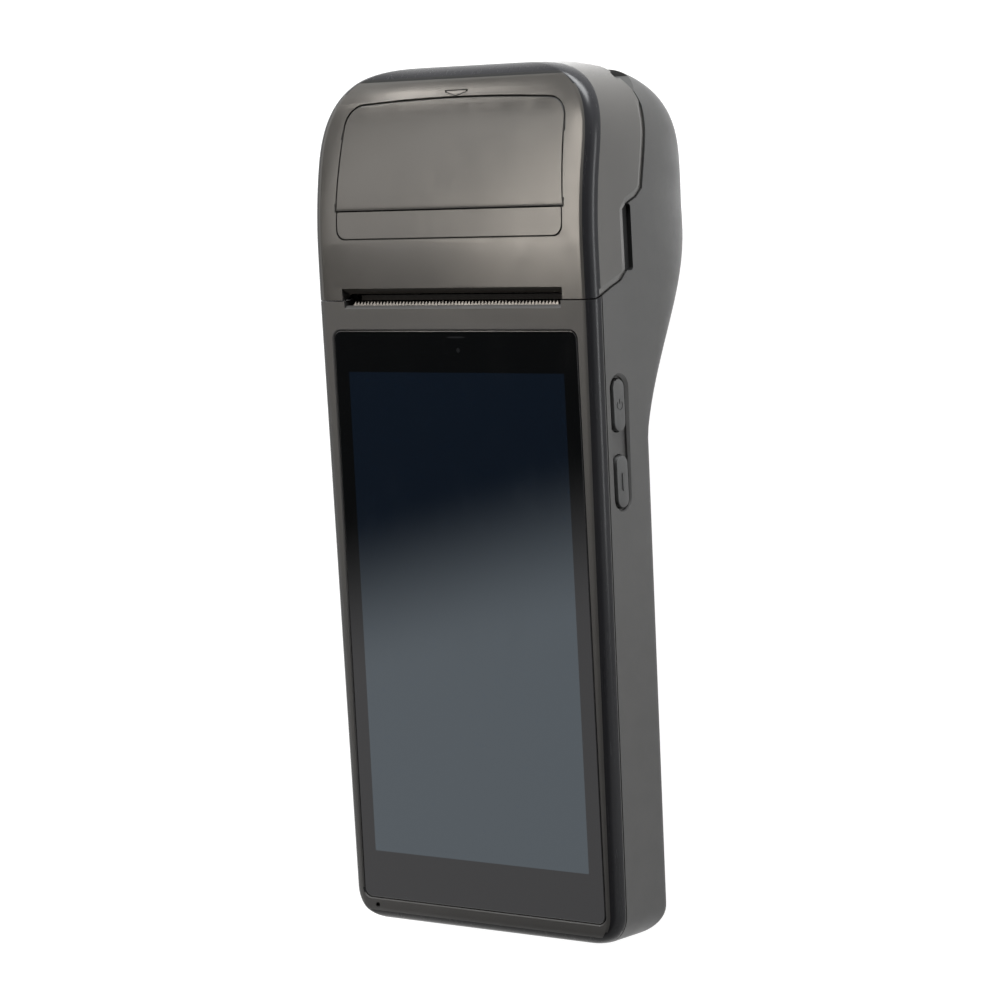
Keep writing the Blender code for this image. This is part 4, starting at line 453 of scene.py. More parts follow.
def both_sides(mesh):
    """A mesh on the right of the middle plane, with its mirror image on the left."""
    shape = bmesh.new()
    shape.from_mesh(mesh)
    copy = bmesh.ops.duplicate(shape, geom=shape.verts[:] + shape.edges[:] + shape.faces[:])["geom"]
    for vert in copy:
        if isinstance(vert, bmesh.types.BMVert):
            vert.co.x = -vert.co.x
    bpy.data.meshes.remove(mesh)
    return finished(shape)


def boolean(first, second, operation):
    """The mesh that a Boolean leaves of two meshes, which are both used up."""
    holder = bpy.data.objects.new("first", first)
    tool = bpy.data.objects.new("second", second)
    for thing in (holder, tool):
        bpy.context.scene.collection.objects.link(thing)
    modifier = holder.modifiers.new("boolean", "BOOLEAN")
    modifier.operation = operation
    modifier.object = tool
    bpy.context.view_layer.update()
    result = bpy.data.meshes.new_from_object(holder.evaluated_get(bpy.context.evaluated_depsgraph_get()))
    for thing, mesh in ((holder, first), (tool, second)):
        bpy.data.objects.remove(thing)
        bpy.data.meshes.remove(mesh)
    return result


def cut(mesh, *tools):
    for tool in tools:
        mesh = boolean(mesh, tool, "DIFFERENCE")
    return mesh


def fused(mesh, *others):
    for other in others:
        mesh = boolean(mesh, other, "UNION")
    return mesh


def common(mesh, other):
    return boolean(mesh, other, "INTERSECT")


# Outer form of the terminal
def drawn_in(distance, radius):
    """How far a quarter-round edge has drawn in, at a distance from its end."""
    if distance >= radius:
        return 0.0
    return radius - math.sqrt(max(0.0, radius**2 - (radius - distance) ** 2))


def half_width(y):
    taper_start = TOP_Y - TOP_TAPER_LENGTH
    if y <= taper_start:
        share = min((y - BOTTOM_Y) / (TEAR_Y - BOTTOM_Y), 1.0)
        width = GRIP_HALF_WIDTH + (PRINTER_HALF_WIDTH - GRIP_HALF_WIDTH) * share
        return width - drawn_in(y - BOTTOM_Y, BOTTOM_CORNER)
    share = min((y - taper_start) / TOP_TAPER_LENGTH, 1.0)
    swell = (1.0 - share**TOP_TAPER_EXPONENT) ** (1.0 / TOP_TAPER_EXPONENT)
    return TOP_EDGE_HALF_WIDTH + (PRINTER_HALF_WIDTH - TOP_EDGE_HALF_WIDTH) * swell


def face_z(y):
    """Height of the front face, which bends back over the printer."""
    bend = max(y - FACE_BEND_Y, 0.0)
    return math.sqrt(FACE_BEND_RADIUS**2 - bend**2) - FACE_BEND_RADIUS


def front_z(y):
    return face_z(y) - drawn_in(y - BOTTOM_Y, EDGE_RADIUS) - drawn_in(TOP_Y - y, EDGE_RADIUS)


def bulge_share(y):
    """Depth of the rounded back at a place along the terminal, as a share of its deepest."""
    if y <= BULGE_START_Y or y >= BULGE_END_Y:
        return 0.0
    if y <= BULGE_PEAK_Y:
        along = (y - BULGE_START_Y) / (BULGE_PEAK_Y - BULGE_START_Y)
        return 1.0 - (1.0 - along**BULGE_RISE_EXPONENT) ** BULGE_RAMP_EXPONENT
    past = (y - BULGE_PEAK_Y) / (BULGE_END_Y - BULGE_PEAK_Y)
    return (1.0 - past**BULGE_CROWN_EXPONENT) ** (1.0 / BULGE_CROWN_EXPONENT)


def section(y, inset, front_inset):
    """Half of the cross-section at y, from the front edge round to the middle of the back."""
    share = bulge_share(y)
    depth = max(BULGE_DEPTH * share, GRIP_BACK_DROP)
    back = drawn_in(y - BOTTOM_Y, HEEL_RADIUS) - SIDE_DEPTH - depth + inset
    depth = max(depth - inset, GRIP_BACK_DROP)
    width = half_width(y) - inset
    radius = EDGE_RADIUS - inset / 2
    front = front_z(y) - front_inset
    power = 2.0 / (GRIP_SECTION_EXPONENT + (BULGE_SECTION_EXPONENT - GRIP_SECTION_EXPONENT) * share)
    half = arc((width - radius, front - radius), radius, RIGHT_ANGLE, 0.0, EDGE_STEPS)
    for step in range(BACK_STEPS):
        angle = math.radians(RIGHT_ANGLE * step / BACK_STEPS)
        half.append((width * math.cos(angle) ** power, back + depth - depth * math.sin(angle) ** power))
    flat = half[-1][1]
    half.append((0.0, flat + (back - flat) * share))
    return half


def stations():
    """Places along the terminal where the outer form has a cross-section."""
    low = [math.cos(math.radians(RIGHT_ANGLE * step / END_STEPS)) for step in range(END_STEPS + 1)]
    high = [math.sin(math.radians(RIGHT_ANGLE * step / TOP_STEPS)) for step in range(TOP_STEPS + 1)]
    bottom = [BOTTOM_Y + BOTTOM_CORNER * (1 - share) for share in low]
    ramp = [BULGE_START_Y + (FACE_BEND_Y - BULGE_START_Y) * step / RAMP_STEPS for step in range(RAMP_STEPS)]
    top = [TOP_Y - (TOP_Y - FACE_BEND_Y) * (1 - share) for share in high]
    return bottom + ramp + top


def body_form(inset=0.0, face_inset=0.0):
    """The whole outer form, or the hollow inside it when there is an inset."""
    loops = []
    for y in stations():
        share = (y - BOTTOM_Y) / (TOP_Y - BOTTOM_Y)
        place = y + inset * (1.0 - 2.0 * share)
        half = section(y, inset, face_inset if y > FACE_BEND_Y + GAP else inset)
        mirrored = [(-x, z) for x, z in reversed(half[:-1])]
        loops.append([(x, place, z) for x, z in half + mirrored])
    return skinned(loops)


def hollow():
    return body_form(WALL, LEVER_THICKNESS + GAP + LEVER_FLOOR)


def seam_path():
    """Points (y, z) along the lid's side edge, from the tear line back to the hinge."""
    return [(TEAR_Y + (TOP_Y - TEAR_Y) * along, -SEAM_DEPTH * deep) for along, deep in SEAM_SHARES]


def lid_space(gap=0.0, relief=0.0):
    """The room of the lid, or the larger room that the rear shell leaves for it."""
    path = offset_path([(TEAR_Y, OVERRUN)] + seam_path(), gap)
    path[0] = (TEAR_Y - gap, OVERRUN)
    back = HINGE_Z - relief
    path += [(HINGE_Y, back), (TOP_Y + OVERRUN, back), (TOP_Y + OVERRUN, OVERRUN)]
    reach = PRINTER_HALF_WIDTH + OVERRUN
    return sweep(path, "X", -reach, reach)


def whole_slab(back, front):
    reach = PRINTER_HALF_WIDTH + OVERRUN
    return block(-reach, reach, BOTTOM_Y - OVERRUN, TOP_Y + OVERRUN, back, front)


def is_front_edge(centre, normal):
    """Whether a face of the outer form lies on its polished round front edge, which is also painted darker as
    dark reflection.
    """
    x, y, z = centre
    bend = math.asin(min(max((y - FACE_BEND_Y) / FACE_BEND_RADIUS, 0.0), 1.0))
    facing = normal[1] * math.sin(bend) + normal[2] * math.cos(bend)
    below_front = (face_z(y) - z) * math.cos(bend)
    nearest = min(max(y, BOTTOM_Y), TOP_Y)
    near_side = abs(x) > half_width(nearest) - EDGE_RADIUS - GAP
    at_top = y > TOP_Y - 2 * EDGE_RADIUS
    near_end = at_top or y < BOTTOM_Y + EDGE_RADIUS + GAP
    lowest = EDGE_RADIUS if at_top else EDGE_DEPTH
    in_band = EDGE_TOP < below_front < lowest and EDGE_FACING_LOW < facing < EDGE_FACING_HIGH
    return (near_side or near_end) and in_band


# Finishes
def make_material(name):
    material = bpy.data.materials.new(name)
    material.use_nodes = True
    tree = material.node_tree
    tree.nodes.clear()
    output = tree.nodes.new("ShaderNodeOutputMaterial")
    shader = tree.nodes.new("ShaderNodeBsdfPrincipled")
    tree.links.new(shader.outputs["BSDF"], output.inputs["Surface"])
    return material, tree, shader


def device_point(tree):
    """The surface's place in the terminal's own axes, in metres."""
    place = tree.nodes.new("ShaderNodeTexCoord")
    turn = tree.nodes.new("ShaderNodeMapping")
    turn.vector_type = "TEXTURE"
    turn.inputs["Location"].default_value = DEVICE.translation
    turn.inputs["Rotation"].default_value = (DEVICE_TILT, 0.0, 0.0)
    tree.links.new(place.outputs["Object"], turn.inputs["Vector"])
    return turn.outputs["Vector"]


def noise(tree, vector, size, detail=3.0, roughness=0.5, stretch=None):
    """Noise whose blotches are about size metres across, optionally stretched along the axes."""
    if stretch:
        scaled = tree.nodes.new("ShaderNodeVectorMath")
        scaled.operation = "MULTIPLY"
        scaled.inputs[1].default_value = stretch
        tree.links.new(vector, scaled.inputs[0])
        vector = scaled.outputs["Vector"]
    texture = tree.nodes.new("ShaderNodeTexNoise")
    texture.inputs["Scale"].default_value = 1.0 / size
    texture.inputs["Detail"].default_value = detail
    texture.inputs["Roughness"].default_value = roughness
    tree.links.new(vector, texture.inputs["Vector"])
    return texture.outputs["Fac"]


def ramp(tree, value, low, high, start=0.35, end=0.65):
    """A value spread over the range from low to high."""
    spread = tree.nodes.new("ShaderNodeMapRange")
    for socket, number in (("From Min", start), ("From Max", end), ("To Min", low), ("To Max", high)):
        spread.inputs[socket].default_value = number
    tree.links.new(value, spread.inputs["Value"])
    return spread.outputs["Result"]


def shades(tree, value, dark, light, start=0.35, end=0.65):
    """A colour between two, picked by a value."""
    mix = tree.nodes.new("ShaderNodeValToRGB")
    mix.color_ramp.elements[0].position = start
    mix.color_ramp.elements[0].color = (*dark, 1.0)
    mix.color_ramp.elements[1].position = end
    mix.color_ramp.elements[1].color = (*light, 1.0)
    tree.links.new(value, mix.inputs["Fac"])
    return mix.outputs["Color"]


def bump(tree, shader, height, depth, strength=1.0, after=None):
    node = tree.nodes.new("ShaderNodeBump")
    node.inputs["Distance"].default_value = depth
    node.inputs["Strength"].default_value = strength
    tree.links.new(height, node.inputs["Height"])
    if after:
        tree.links.new(after, node.inputs["Normal"])
    tree.links.new(node.outputs["Normal"], shader.inputs["Normal"])
    return node.outputs["Normal"]


def moulded(name, colour, roughness, grain_size, grain_depth, specular=0.5, spread=0.06):
    """Moulded plastic: a fine spark-eroded grain, slow flow marks and faint handling wear."""
    material, tree, shader = make_material(name)
    point = device_point(tree)
    flow = noise(tree, point, size=22.0 * MM, detail=2.0, roughness=0.5, stretch=(1.0, 0.45, 1.0))
    dark = [channel * (1.0 - spread) for channel in colour]
    light = [channel * (1.0 + spread) for channel in colour]
    tree.links.new(shades(tree, flow, dark, light), shader.inputs["Base Color"])
    handling = noise(tree, point, size=6.0 * MM, detail=5.0, roughness=0.62)
    rough = ramp(tree, handling, low=roughness - 0.045, high=roughness + 0.045)
    tree.links.new(rough, shader.inputs["Roughness"])
    shader.inputs["Specular IOR Level"].default_value = specular
    grain = noise(tree, point, size=grain_size, detail=2.0, roughness=0.6)
    first = bump(tree, shader, grain, depth=grain_depth)
    waves = noise(tree, point, size=16.0 * MM, detail=1.0, roughness=0.4)
    bump(tree, shader, waves, depth=0.12 * MM, strength=0.15, after=first)
    return material


def polished(name, colour, roughness, specular=0.5, waviness=0.05 * MM):
    """Smooth polished plastic or ceramic with slight waviness and hairline marks."""
    material, tree, shader = make_material(name)
    point = device_point(tree)
    tone = noise(tree, point, size=18.0 * MM, detail=2.0)
    dark = [channel * 0.92 for channel in colour]
    light = [channel * 1.08 for channel in colour]
    tree.links.new(shades(tree, tone, dark, light), shader.inputs["Base Color"])
    marks = noise(tree, point, size=1.2 * MM, detail=6.0, roughness=0.7, stretch=(1.0, 0.08, 1.0))
    tree.links.new(
        ramp(tree, marks, low=roughness * 0.94, high=roughness * 1.08), shader.inputs["Roughness"]
    )
    shader.inputs["Specular IOR Level"].default_value = specular
    bump(tree, shader, noise(tree, point, size=14.0 * MM, detail=1.0), depth=waviness, strength=0.4)
    return material


def coated_glass(name, colour, tint, specular, roughness, reflection=(1.0, 1.0, 1.0)):
    """Cover glass over a dark layer, with faint smudges and dust in its gloss."""
    material, tree, shader = make_material(name)
    point = device_point(tree)
    film = noise(tree, point, size=26.0 * MM, detail=3.0, roughness=0.55)
    tree.links.new(shades(tree, film, colour, tint), shader.inputs["Base Color"])
    smudge = noise(tree, point, size=9.0 * MM, detail=6.0, roughness=0.6, stretch=(1.0, 0.5, 1.0))
    tree.links.new(
        ramp(tree, smudge, low=roughness, high=roughness + 0.05, start=0.45, end=0.75),
        shader.inputs["Roughness"]
    )
    shader.inputs["Specular IOR Level"].default_value = specular
    shader.inputs["Specular Tint"].default_value = (*reflection, 1.0)
    shader.inputs["IOR"].default_value = GLASS_IOR
    bump(tree, shader, noise(tree, point, size=40.0 * MM, detail=1.0), depth=0.02 * MM, strength=0.3)
    return material


def printed_glass(name, colour, specular, roughness):
    """Border glass whose black print leaves a sensor window and an earpiece slit a little lighter."""
    material = coated_glass(name, colour, colour, specular=specular, roughness=roughness)
    tree = material.node_tree
    shader = next(node for node in tree.nodes if node.type == "BSDF_PRINCIPLED")
    point = device_point(tree)
    plain = shader.inputs["Base Color"].links[0].from_socket
    for (x, y), width, height in GLASS_WINDOWS:
        offset = tree.nodes.new("ShaderNodeVectorMath")
        offset.operation = "SUBTRACT"
        offset.inputs[1].default_value = (x, y, 0.0)
        tree.links.new(point, offset.inputs[0])
        scaled = tree.nodes.new("ShaderNodeVectorMath")
        scaled.operation = "MULTIPLY"
        scaled.inputs[1].default_value = (2.0 / width, 2.0 / height, 0.0)
        tree.links.new(offset.outputs["Vector"], scaled.inputs[0])
        distance = tree.nodes.new("ShaderNodeVectorMath")
        distance.operation = "LENGTH"
        tree.links.new(scaled.outputs["Vector"], distance.inputs[0])
        mix = tree.nodes.new("ShaderNodeMix")
        mix.data_type = "RGBA"
        tree.links.new(
            ramp(tree, distance.outputs["Value"], low=1.0, high=0.0, start=0.75, end=1.05),
            mix.inputs["Factor"]
        )
        tree.links.new(plain, mix.inputs["A"])
        mix.inputs["B"].default_value = PRINT_WINDOW_COLOUR
        plain = mix.outputs["Result"]
    tree.links.new(plain, shader.inputs["Base Color"])
    return material


def machined(name, colour, roughness, stretch, metallic=1.0):
    """Metal with fine drawn marks along one axis and a little staining."""
    material, tree, shader = make_material(name)
    point = device_point(tree)
    stain = noise(tree, point, size=5.0 * MM, detail=4.0, roughness=0.6)
    dark = [channel * 0.82 for channel in colour]
    tree.links.new(shades(tree, stain, dark, colour, start=0.3, end=0.6), shader.inputs["Base Color"])
    shader.inputs["Metallic"].default_value = metallic
    marks = noise(tree, point, size=0.5 * MM, detail=3.0, roughness=0.6, stretch=stretch)
    tree.links.new(
        ramp(tree, marks, low=roughness * 0.75, high=roughness * 1.3), shader.inputs["Roughness"]
    )
    bump(tree, shader, marks, depth=0.01 * MM, strength=0.5)
    return material


def rubbery(name, colour):
    material, tree, shader = make_material(name)
    point = device_point(tree)
    chalk = noise(tree, point, size=3.0 * MM, detail=6.0, roughness=0.65)
    pale = [channel * 1.7 for channel in colour]
    tree.links.new(shades(tree, chalk, colour, pale), shader.inputs["Base Color"])
    tree.links.new(ramp(tree, chalk, low=0.68, high=0.82), shader.inputs["Roughness"])
    shader.inputs["Sheen Weight"].default_value = 0.12
    bump(tree, shader, noise(tree, point, size=0.25 * MM, detail=2.0), depth=0.02 * MM, strength=0.6)
    return material


def board(name, colour):
    """Circuit board: solder mask over copper tracks, with pads along a fine grid."""
    material, tree, shader = make_material(name)
    point = device_point(tree)
    track = tree.nodes.new("ShaderNodeTexBrick")
    track.inputs["Scale"].default_value = 1.0 / TRACK_PITCH
    track.inputs["Mortar Size"].default_value = TRACK_LINE
    track.inputs["Color1"].default_value = (*colour, 1.0)
    track.inputs["Color2"].default_value = (*[channel * 1.25 for channel in colour], 1.0)
    track.inputs["Mortar"].default_value = (*[channel * 2.3 for channel in colour], 1.0)
    tree.links.new(point, track.inputs["Vector"])
    tree.links.new(track.outputs["Color"], shader.inputs["Base Color"])
    tree.links.new(
        ramp(tree, noise(tree, point, size=TRACK_PITCH), low=0.28, high=0.42), shader.inputs["Roughness"]
    )
    bump(tree, shader, track.outputs["Fac"], depth=0.03 * MM, strength=0.6)
    return material


def wrapped(name, colour):
    """Battery film: a thin glossy wrap with soft creases towards its edges."""
    material, tree, shader = make_material(name)
    point = device_point(tree)
    crease = noise(tree, point, size=7.0 * MM, detail=5.0, roughness=0.7, stretch=(0.4, 1.0, 1.0))
    light = [channel * 1.25 for channel in colour]
    tree.links.new(shades(tree, crease, colour, light), shader.inputs["Base Color"])
    tree.links.new(ramp(tree, crease, low=0.26, high=0.45), shader.inputs["Roughness"])
    bump(tree, shader, crease, depth=0.15 * MM, strength=0.5)
    return material


# Pieces of the scene
def sharpened(mesh, angle=SMOOTH_ANGLE):
    mesh.shade_smooth()
    mesh.set_sharp_from_angle(angle=math.radians(angle))
    return mesh


def merged(mesh, distance=MERGE_DISTANCE):
    shape = bmesh.new()
    shape.from_mesh(mesh)
    bmesh.ops.remove_doubles(shape, verts=shape.verts, dist=distance)
    bmesh.ops.dissolve_degenerate(shape, edges=shape.edges, dist=distance)
    shape.to_mesh(mesh)
    shape.free()
    return mesh


def finish_faces(mesh, materials, choose=None):
    """Gives a mesh its materials, and picks one for each face by its number, or the second by True."""
    mesh.materials.clear()
    for material in materials:
        mesh.materials.append(material)
    chosen = [int(choose(face.center, face.normal)) if choose else 0 for face in mesh.polygons]
    mesh.polygons.foreach_set("material_index", chosen)
    return mesh


def place_piece(name, mesh, body, replaced=(), smooth_angle=SMOOTH_ANGLE):
    """A piece in the row's frame, on its body, in place of its CAD nodes."""
    sharpened(mesh, smooth_angle)
    mesh.name = name
    mesh.transform(DEVICE)
    piece = bpy.data.objects.new(name, mesh)
    bpy.context.scene.collection.objects.link(piece)
    if replaced:
        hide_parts(*replaced)
    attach(piece, body)
    return piece


def repaint(node, material):
    """Gives a CAD node's object a finish."""
    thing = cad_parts[node]
    for slot in thing.material_slots:
        slot.material = material
    if not thing.material_slots:
        thing.data.materials.append(material)


def finish(name):
    """A named finish, made once."""
    known = bpy.data.materials.get(name)
    if known:
        return known
    finishes = bpy.context.scene.terminal_finishes
    return FINISH_MAKERS[name](name, finishes)


FINISH_MAKERS = {
    "case_satin": lambda name, f: moulded(
        name, f.case_colour, roughness=f.case_roughness, grain_size=0.28 * MM, grain_depth=0.018 * MM
    ),
    "lid_satin": lambda name, f: moulded(
        name, f.lid_colour, roughness=f.lid_roughness, grain_size=0.24 * MM, grain_depth=0.010 * MM
    ),
    "key_satin": lambda name, f: moulded(
        name, f.key_colour, roughness=0.48, grain_size=0.22 * MM, grain_depth=0.012 * MM
    ),
    "inner_matt": lambda name, f: moulded(
        name, f.inner_colour, roughness=0.62, grain_size=0.35 * MM, grain_depth=0.020 * MM, specular=0.4
    ),
    # The front edge is glossier than the case, and its darker colour is painted dark reflection of the
    # surroundings it mirrors
    "edge_gloss": lambda name, f: polished(name, f.edge_painted_dark_colour, roughness=f.edge_roughness, specular=0.18),
    "glass_border": lambda name, f: printed_glass(name, f.border_colour, specular=0.45, roughness=0.035),
    "glass_edge": lambda name, f: coated_glass(
        name, (0.035, 0.036, 0.038), (0.05, 0.05, 0.052), specular=0.6, roughness=0.2
    ),
    "glass_display": lambda name, f: coated_glass(
        name, f.display_colour, f.display_colour, specular=0.955, roughness=0.03,
        reflection=(0.81, 0.94, 1.0)
    ),
    "spring_steel": lambda name, f: machined(name, f.steel_colour, roughness=0.28, stretch=(0.1, 1.0, 1.0)),
    "screw_steel": lambda name, f: machined(
        name, (0.09, 0.09, 0.095), roughness=0.38, stretch=(1.0, 1.0, 0.2)
    ),
    "cast_aluminium": lambda name, f: machined(
        name, f.aluminium_colour, roughness=0.4, stretch=(1.0, 0.1, 1.0)
    ),
    "platen_rubber": lambda name, f: rubbery(name, (0.022, 0.022, 0.022)),
    "gear_acetal": lambda name, f: moulded(
        name, (0.68, 0.67, 0.62), roughness=0.42, grain_size=0.5 * MM, grain_depth=0.008 * MM, specular=0.5,
        spread=0.03
    ),
    "head_ceramic": lambda name, f: polished(name, (0.010, 0.009, 0.009), roughness=0.45, specular=0.08),
    "blade_steel": lambda name, f: machined(
        name, (0.20, 0.195, 0.19), roughness=0.36, stretch=(0.1, 1.0, 1.0)
    ),
    # Painted shade: a dark, barely reflecting finish for the shade that falls in the finger grooves, the
    # lid's fine lines and the lever's edge that faces its pocket
    "groove_matt": lambda name, f: moulded(
        name, f.inner_colour, roughness=0.6, grain_size=0.3 * MM, grain_depth=0.01 * MM, specular=0.12
    ),
    "solder_mask": lambda name, f: board(name, (0.010, 0.070, 0.030)),
    "battery_film": lambda name, f: wrapped(name, (0.050, 0.052, 0.058)),
    "display_back": lambda name, f: polished(name, (0.012, 0.014, 0.022), roughness=0.25),
}


# Shells
def key_middles():
    """Middle (y, z) of the lower and the upper key."""
    reach = KEY_LENGTH / 2 + KEY_END_MARGIN
    z = -RECESS_FRONT_DEPTH - RECESS_HEIGHT / 2
    return [(RECESS_BOTTOM_Y + reach, z), (RECESS_TOP_Y - reach, z)]


def key_wall_x():
    return half_width((RECESS_BOTTOM_Y + RECESS_TOP_Y) / 2)


def key_cuts():
    """The shared recess of the keys with its eased rim, and a hole for each key."""
    middle = ((RECESS_BOTTOM_Y + RECESS_TOP_Y) / 2, -RECESS_FRONT_DEPTH - RECESS_HEIGHT / 2)
    wall = key_wall_x()
    ease = RECESS_EASE
    profile = (
        (0.0, wall - RECESS_CUT), (0.0, wall - ease), (ease, wall),
        (ease + OVERRUN / 4, wall + OVERRUN / 4),
    )
    length = RECESS_TOP_Y - RECESS_BOTTOM_Y
    outline = lambda margin: stadium(
        middle, length + 2 * (margin - ease), RECESS_HEIGHT + 2 * (margin - ease)
    )
    recess = stepped(profile, outline, "X")
    holes = []
    for place in key_middles():
        hole = stadium(place, KEY_LENGTH + 2 * GAP, KEY_HEIGHT + 2 * GAP)
        holes.append(sweep(hole, "X", wall - WALL - OVERRUN / 2, wall + OVERRUN / 2))
    return recess, joined(holes)


def port_cut():
    wall = -half_width(PORT_Y)
    ease = PORT_EASE
    profile = (
        (GAP + ease + OVERRUN / 4, wall - OVERRUN / 4), (GAP + ease, wall), (GAP, wall + ease),
        (GAP, wall + WALL + OVERRUN / 2),
    )
    outline = lambda margin: stadium((PORT_Y, PORT_Z), PORT_WIDTH + 2 * margin, PORT_HEIGHT + 2 * margin)
    return stepped(profile, outline, "X")


def groove_outline(margin=0.0):
    """The finger groove's outline (y, z), tucked under the lid's edge."""
    length = TOP_Y - TEAR_Y
    low = TEAR_Y + length * GROOVE_START_SHARE - margin
    high = TEAR_Y + length * GROOVE_END_SHARE + margin
    front = seam_path()[4][1] + margin
    return rounded_rectangle(low, high, front - GROOVE_HEIGHT - GAP - 2 * margin, front, GROOVE_CORNER)


def groove_cuts():
    """The finger groove along each side, below the lid's edge."""
    inner = PRINTER_HALF_WIDTH - GROOVE_DEPTH
    return both_sides(sweep(groove_outline(), "X", inner, PRINTER_HALF_WIDTH + OVERRUN))


def lid_finish(centre, normal):
    """The lid's finish at a face: satin; polished on the front edge, and painted darker there as dark
    reflection; dark and matt in its fine lines, as painted shade.
    """
    if is_front_edge(centre, normal):
        return 1
    depth = face_z(centre[1]) - centre[2]
    inside = abs(centre[0]) < LEVER_HALF_WIDTH + 2 * GAP and centre[1] > PANEL_LINE_Y - GAP
    return 2 if inside and LINE_TOP < depth < PANEL_LINE_DEPTH + GAP / 4 else 0


def is_groove(centre, normal):
    """Whether a face lies in a finger groove, whose faces get the painted shade."""
    ys, zs = zip(*groove_outline(GROOVE_MARGIN))
    depth = PRINTER_HALF_WIDTH - abs(centre[0])
    in_outline = min(ys) < centre[1] < max(ys) and min(zs) < centre[2] < max(zs)
    return GROOVE_MARGIN < depth < GROOVE_DEPTH + GROOVE_MARGIN and in_outline


def cover_outline(margin=0.0):
    side = COVER_HALF_WIDTH + margin
    low, high = COVER_BOTTOM_Y - margin, COVER_TOP_Y + margin
    return rounded_rectangle(-side, side, low, high, COVER_CORNER + margin)


def screw_holes(places, head_low, counterbore, end):
    holes = []
    for place in places:
        profile = (
            (SCREW_HEAD_RADIUS + GAP, head_low - OVERRUN), (SCREW_HEAD_RADIUS + GAP, counterbore),
            (SCREW_RADIUS + GAP, counterbore), (SCREW_RADIUS + GAP, end),
        )
        loops = [[(x, y, z) for x, y in circle(place, size, SMALL_ROUND_STEPS)] for size, z in profile]
        holes.append(skinned(loops))
    return joined(holes)


def hinge_reach():
    return HINGE_HALF_WIDTH + GAP + HINGE_LUG_WIDTH


def hinge_lugs():
    """Two eyes that stand on the rear shell beside the lid's hinge barrel."""
    left = HINGE_HALF_WIDTH + GAP
    eye = sweep(circle((HINGE_Y, HINGE_Z), HINGE_RADIUS), "X", left, left + HINGE_LUG_WIDTH)
    root = rectangle(
        HINGE_Y - LUG_ROOT_LENGTH, HINGE_Y, HINGE_Z - LUG_ROOT_DEPTH, HINGE_Z - HINGE_RADIUS / 2
    )
    return both_sides(fused(eye, sweep(root, "X", left, left + HINGE_LUG_WIDTH)))


def case_screw_places():
    return [(x, y) for x in (-CASE_SCREW_X, CASE_SCREW_X) for y in CASE_SCREW_YS]


def cover_screw_places():
    return [(x, y) for x in (-COVER_SCREW_X, COVER_SCREW_X) for y in COVER_SCREW_YS]


def bosses(places, radius, low, high):
    return joined([sweep(circle(place, radius, SMALL_ROUND_STEPS), "Z", low, high) for place in places])


def hinge_pin_hole():
    reach = hinge_reach() + OVERRUN
    return sweep(circle((HINGE_Y, HINGE_Z), HINGE_PIN_RADIUS + GAP), "X", -reach, reach)


def rear_shell_mesh():
    above = whole_slab(-FRAME_THICKNESS - GAP, OVERRUN)
    shell = cut(body_form(), hollow(), lid_space(GAP, HINGE_RELIEF), above)
    low = INNER_BACK - GAP
    case_bosses = bosses(case_screw_places(), CASE_BOSS_RADIUS, low, -CASE_BOSS_TOP)
    cover_bosses = bosses(cover_screw_places(), COVER_BOSS_RADIUS, low, INNER_BACK + COVER_BOSS_HEIGHT)
    shell = fused(shell, hinge_lugs(), case_bosses, cover_bosses)
    seat = COVER_BACK + COVER_THICKNESS + GAP
    wide = GAP + COVER_SEAT_EASE
    rim = -SIDE_DEPTH - GRIP_BACK_DROP
    profile = (
        (wide + OVERRUN / 2, rim - OVERRUN / 2), (wide, rim), (GAP, rim + COVER_SEAT_EASE), (GAP, seat),
    )
    cover_seat = stepped(profile, cover_outline, "Z")
    bay = rounded_rectangle(-BAY_HALF_WIDTH, BAY_HALF_WIDTH, BAY_BOTTOM_Y, BAY_TOP_Y, BAY_CORNER)
    battery_opening = sweep(bay, "Z", -SIDE_DEPTH - OVERRUN, -SIDE_DEPTH + OVERRUN)
    boss_holes = bosses(
        cover_screw_places(), SCREW_RADIUS + GAP, seat - OVERRUN, INNER_BACK + COVER_BOSS_HEIGHT - GAP
    )
    head_low = rim + SCREW_SINK
    case_holes = screw_holes(case_screw_places(), head_low, head_low + SCREW_HEAD_HEIGHT + GAP, OVERRUN)
    pin = hinge_pin_hole()
    return cut(
        shell, cover_seat, battery_opening, boss_holes, case_holes, *key_cuts(), port_cut(), groove_cuts(),
        grille_cutter(), pin
    )


def glass_outline(margin=0.0):
    side = GLASS_HALF_WIDTH + margin
    low, high = GLASS_BOTTOM_Y - margin, GLASS_TOP_Y + margin
    return rounded_rectangle(-side, side, low, high, GLASS_CORNER + margin)


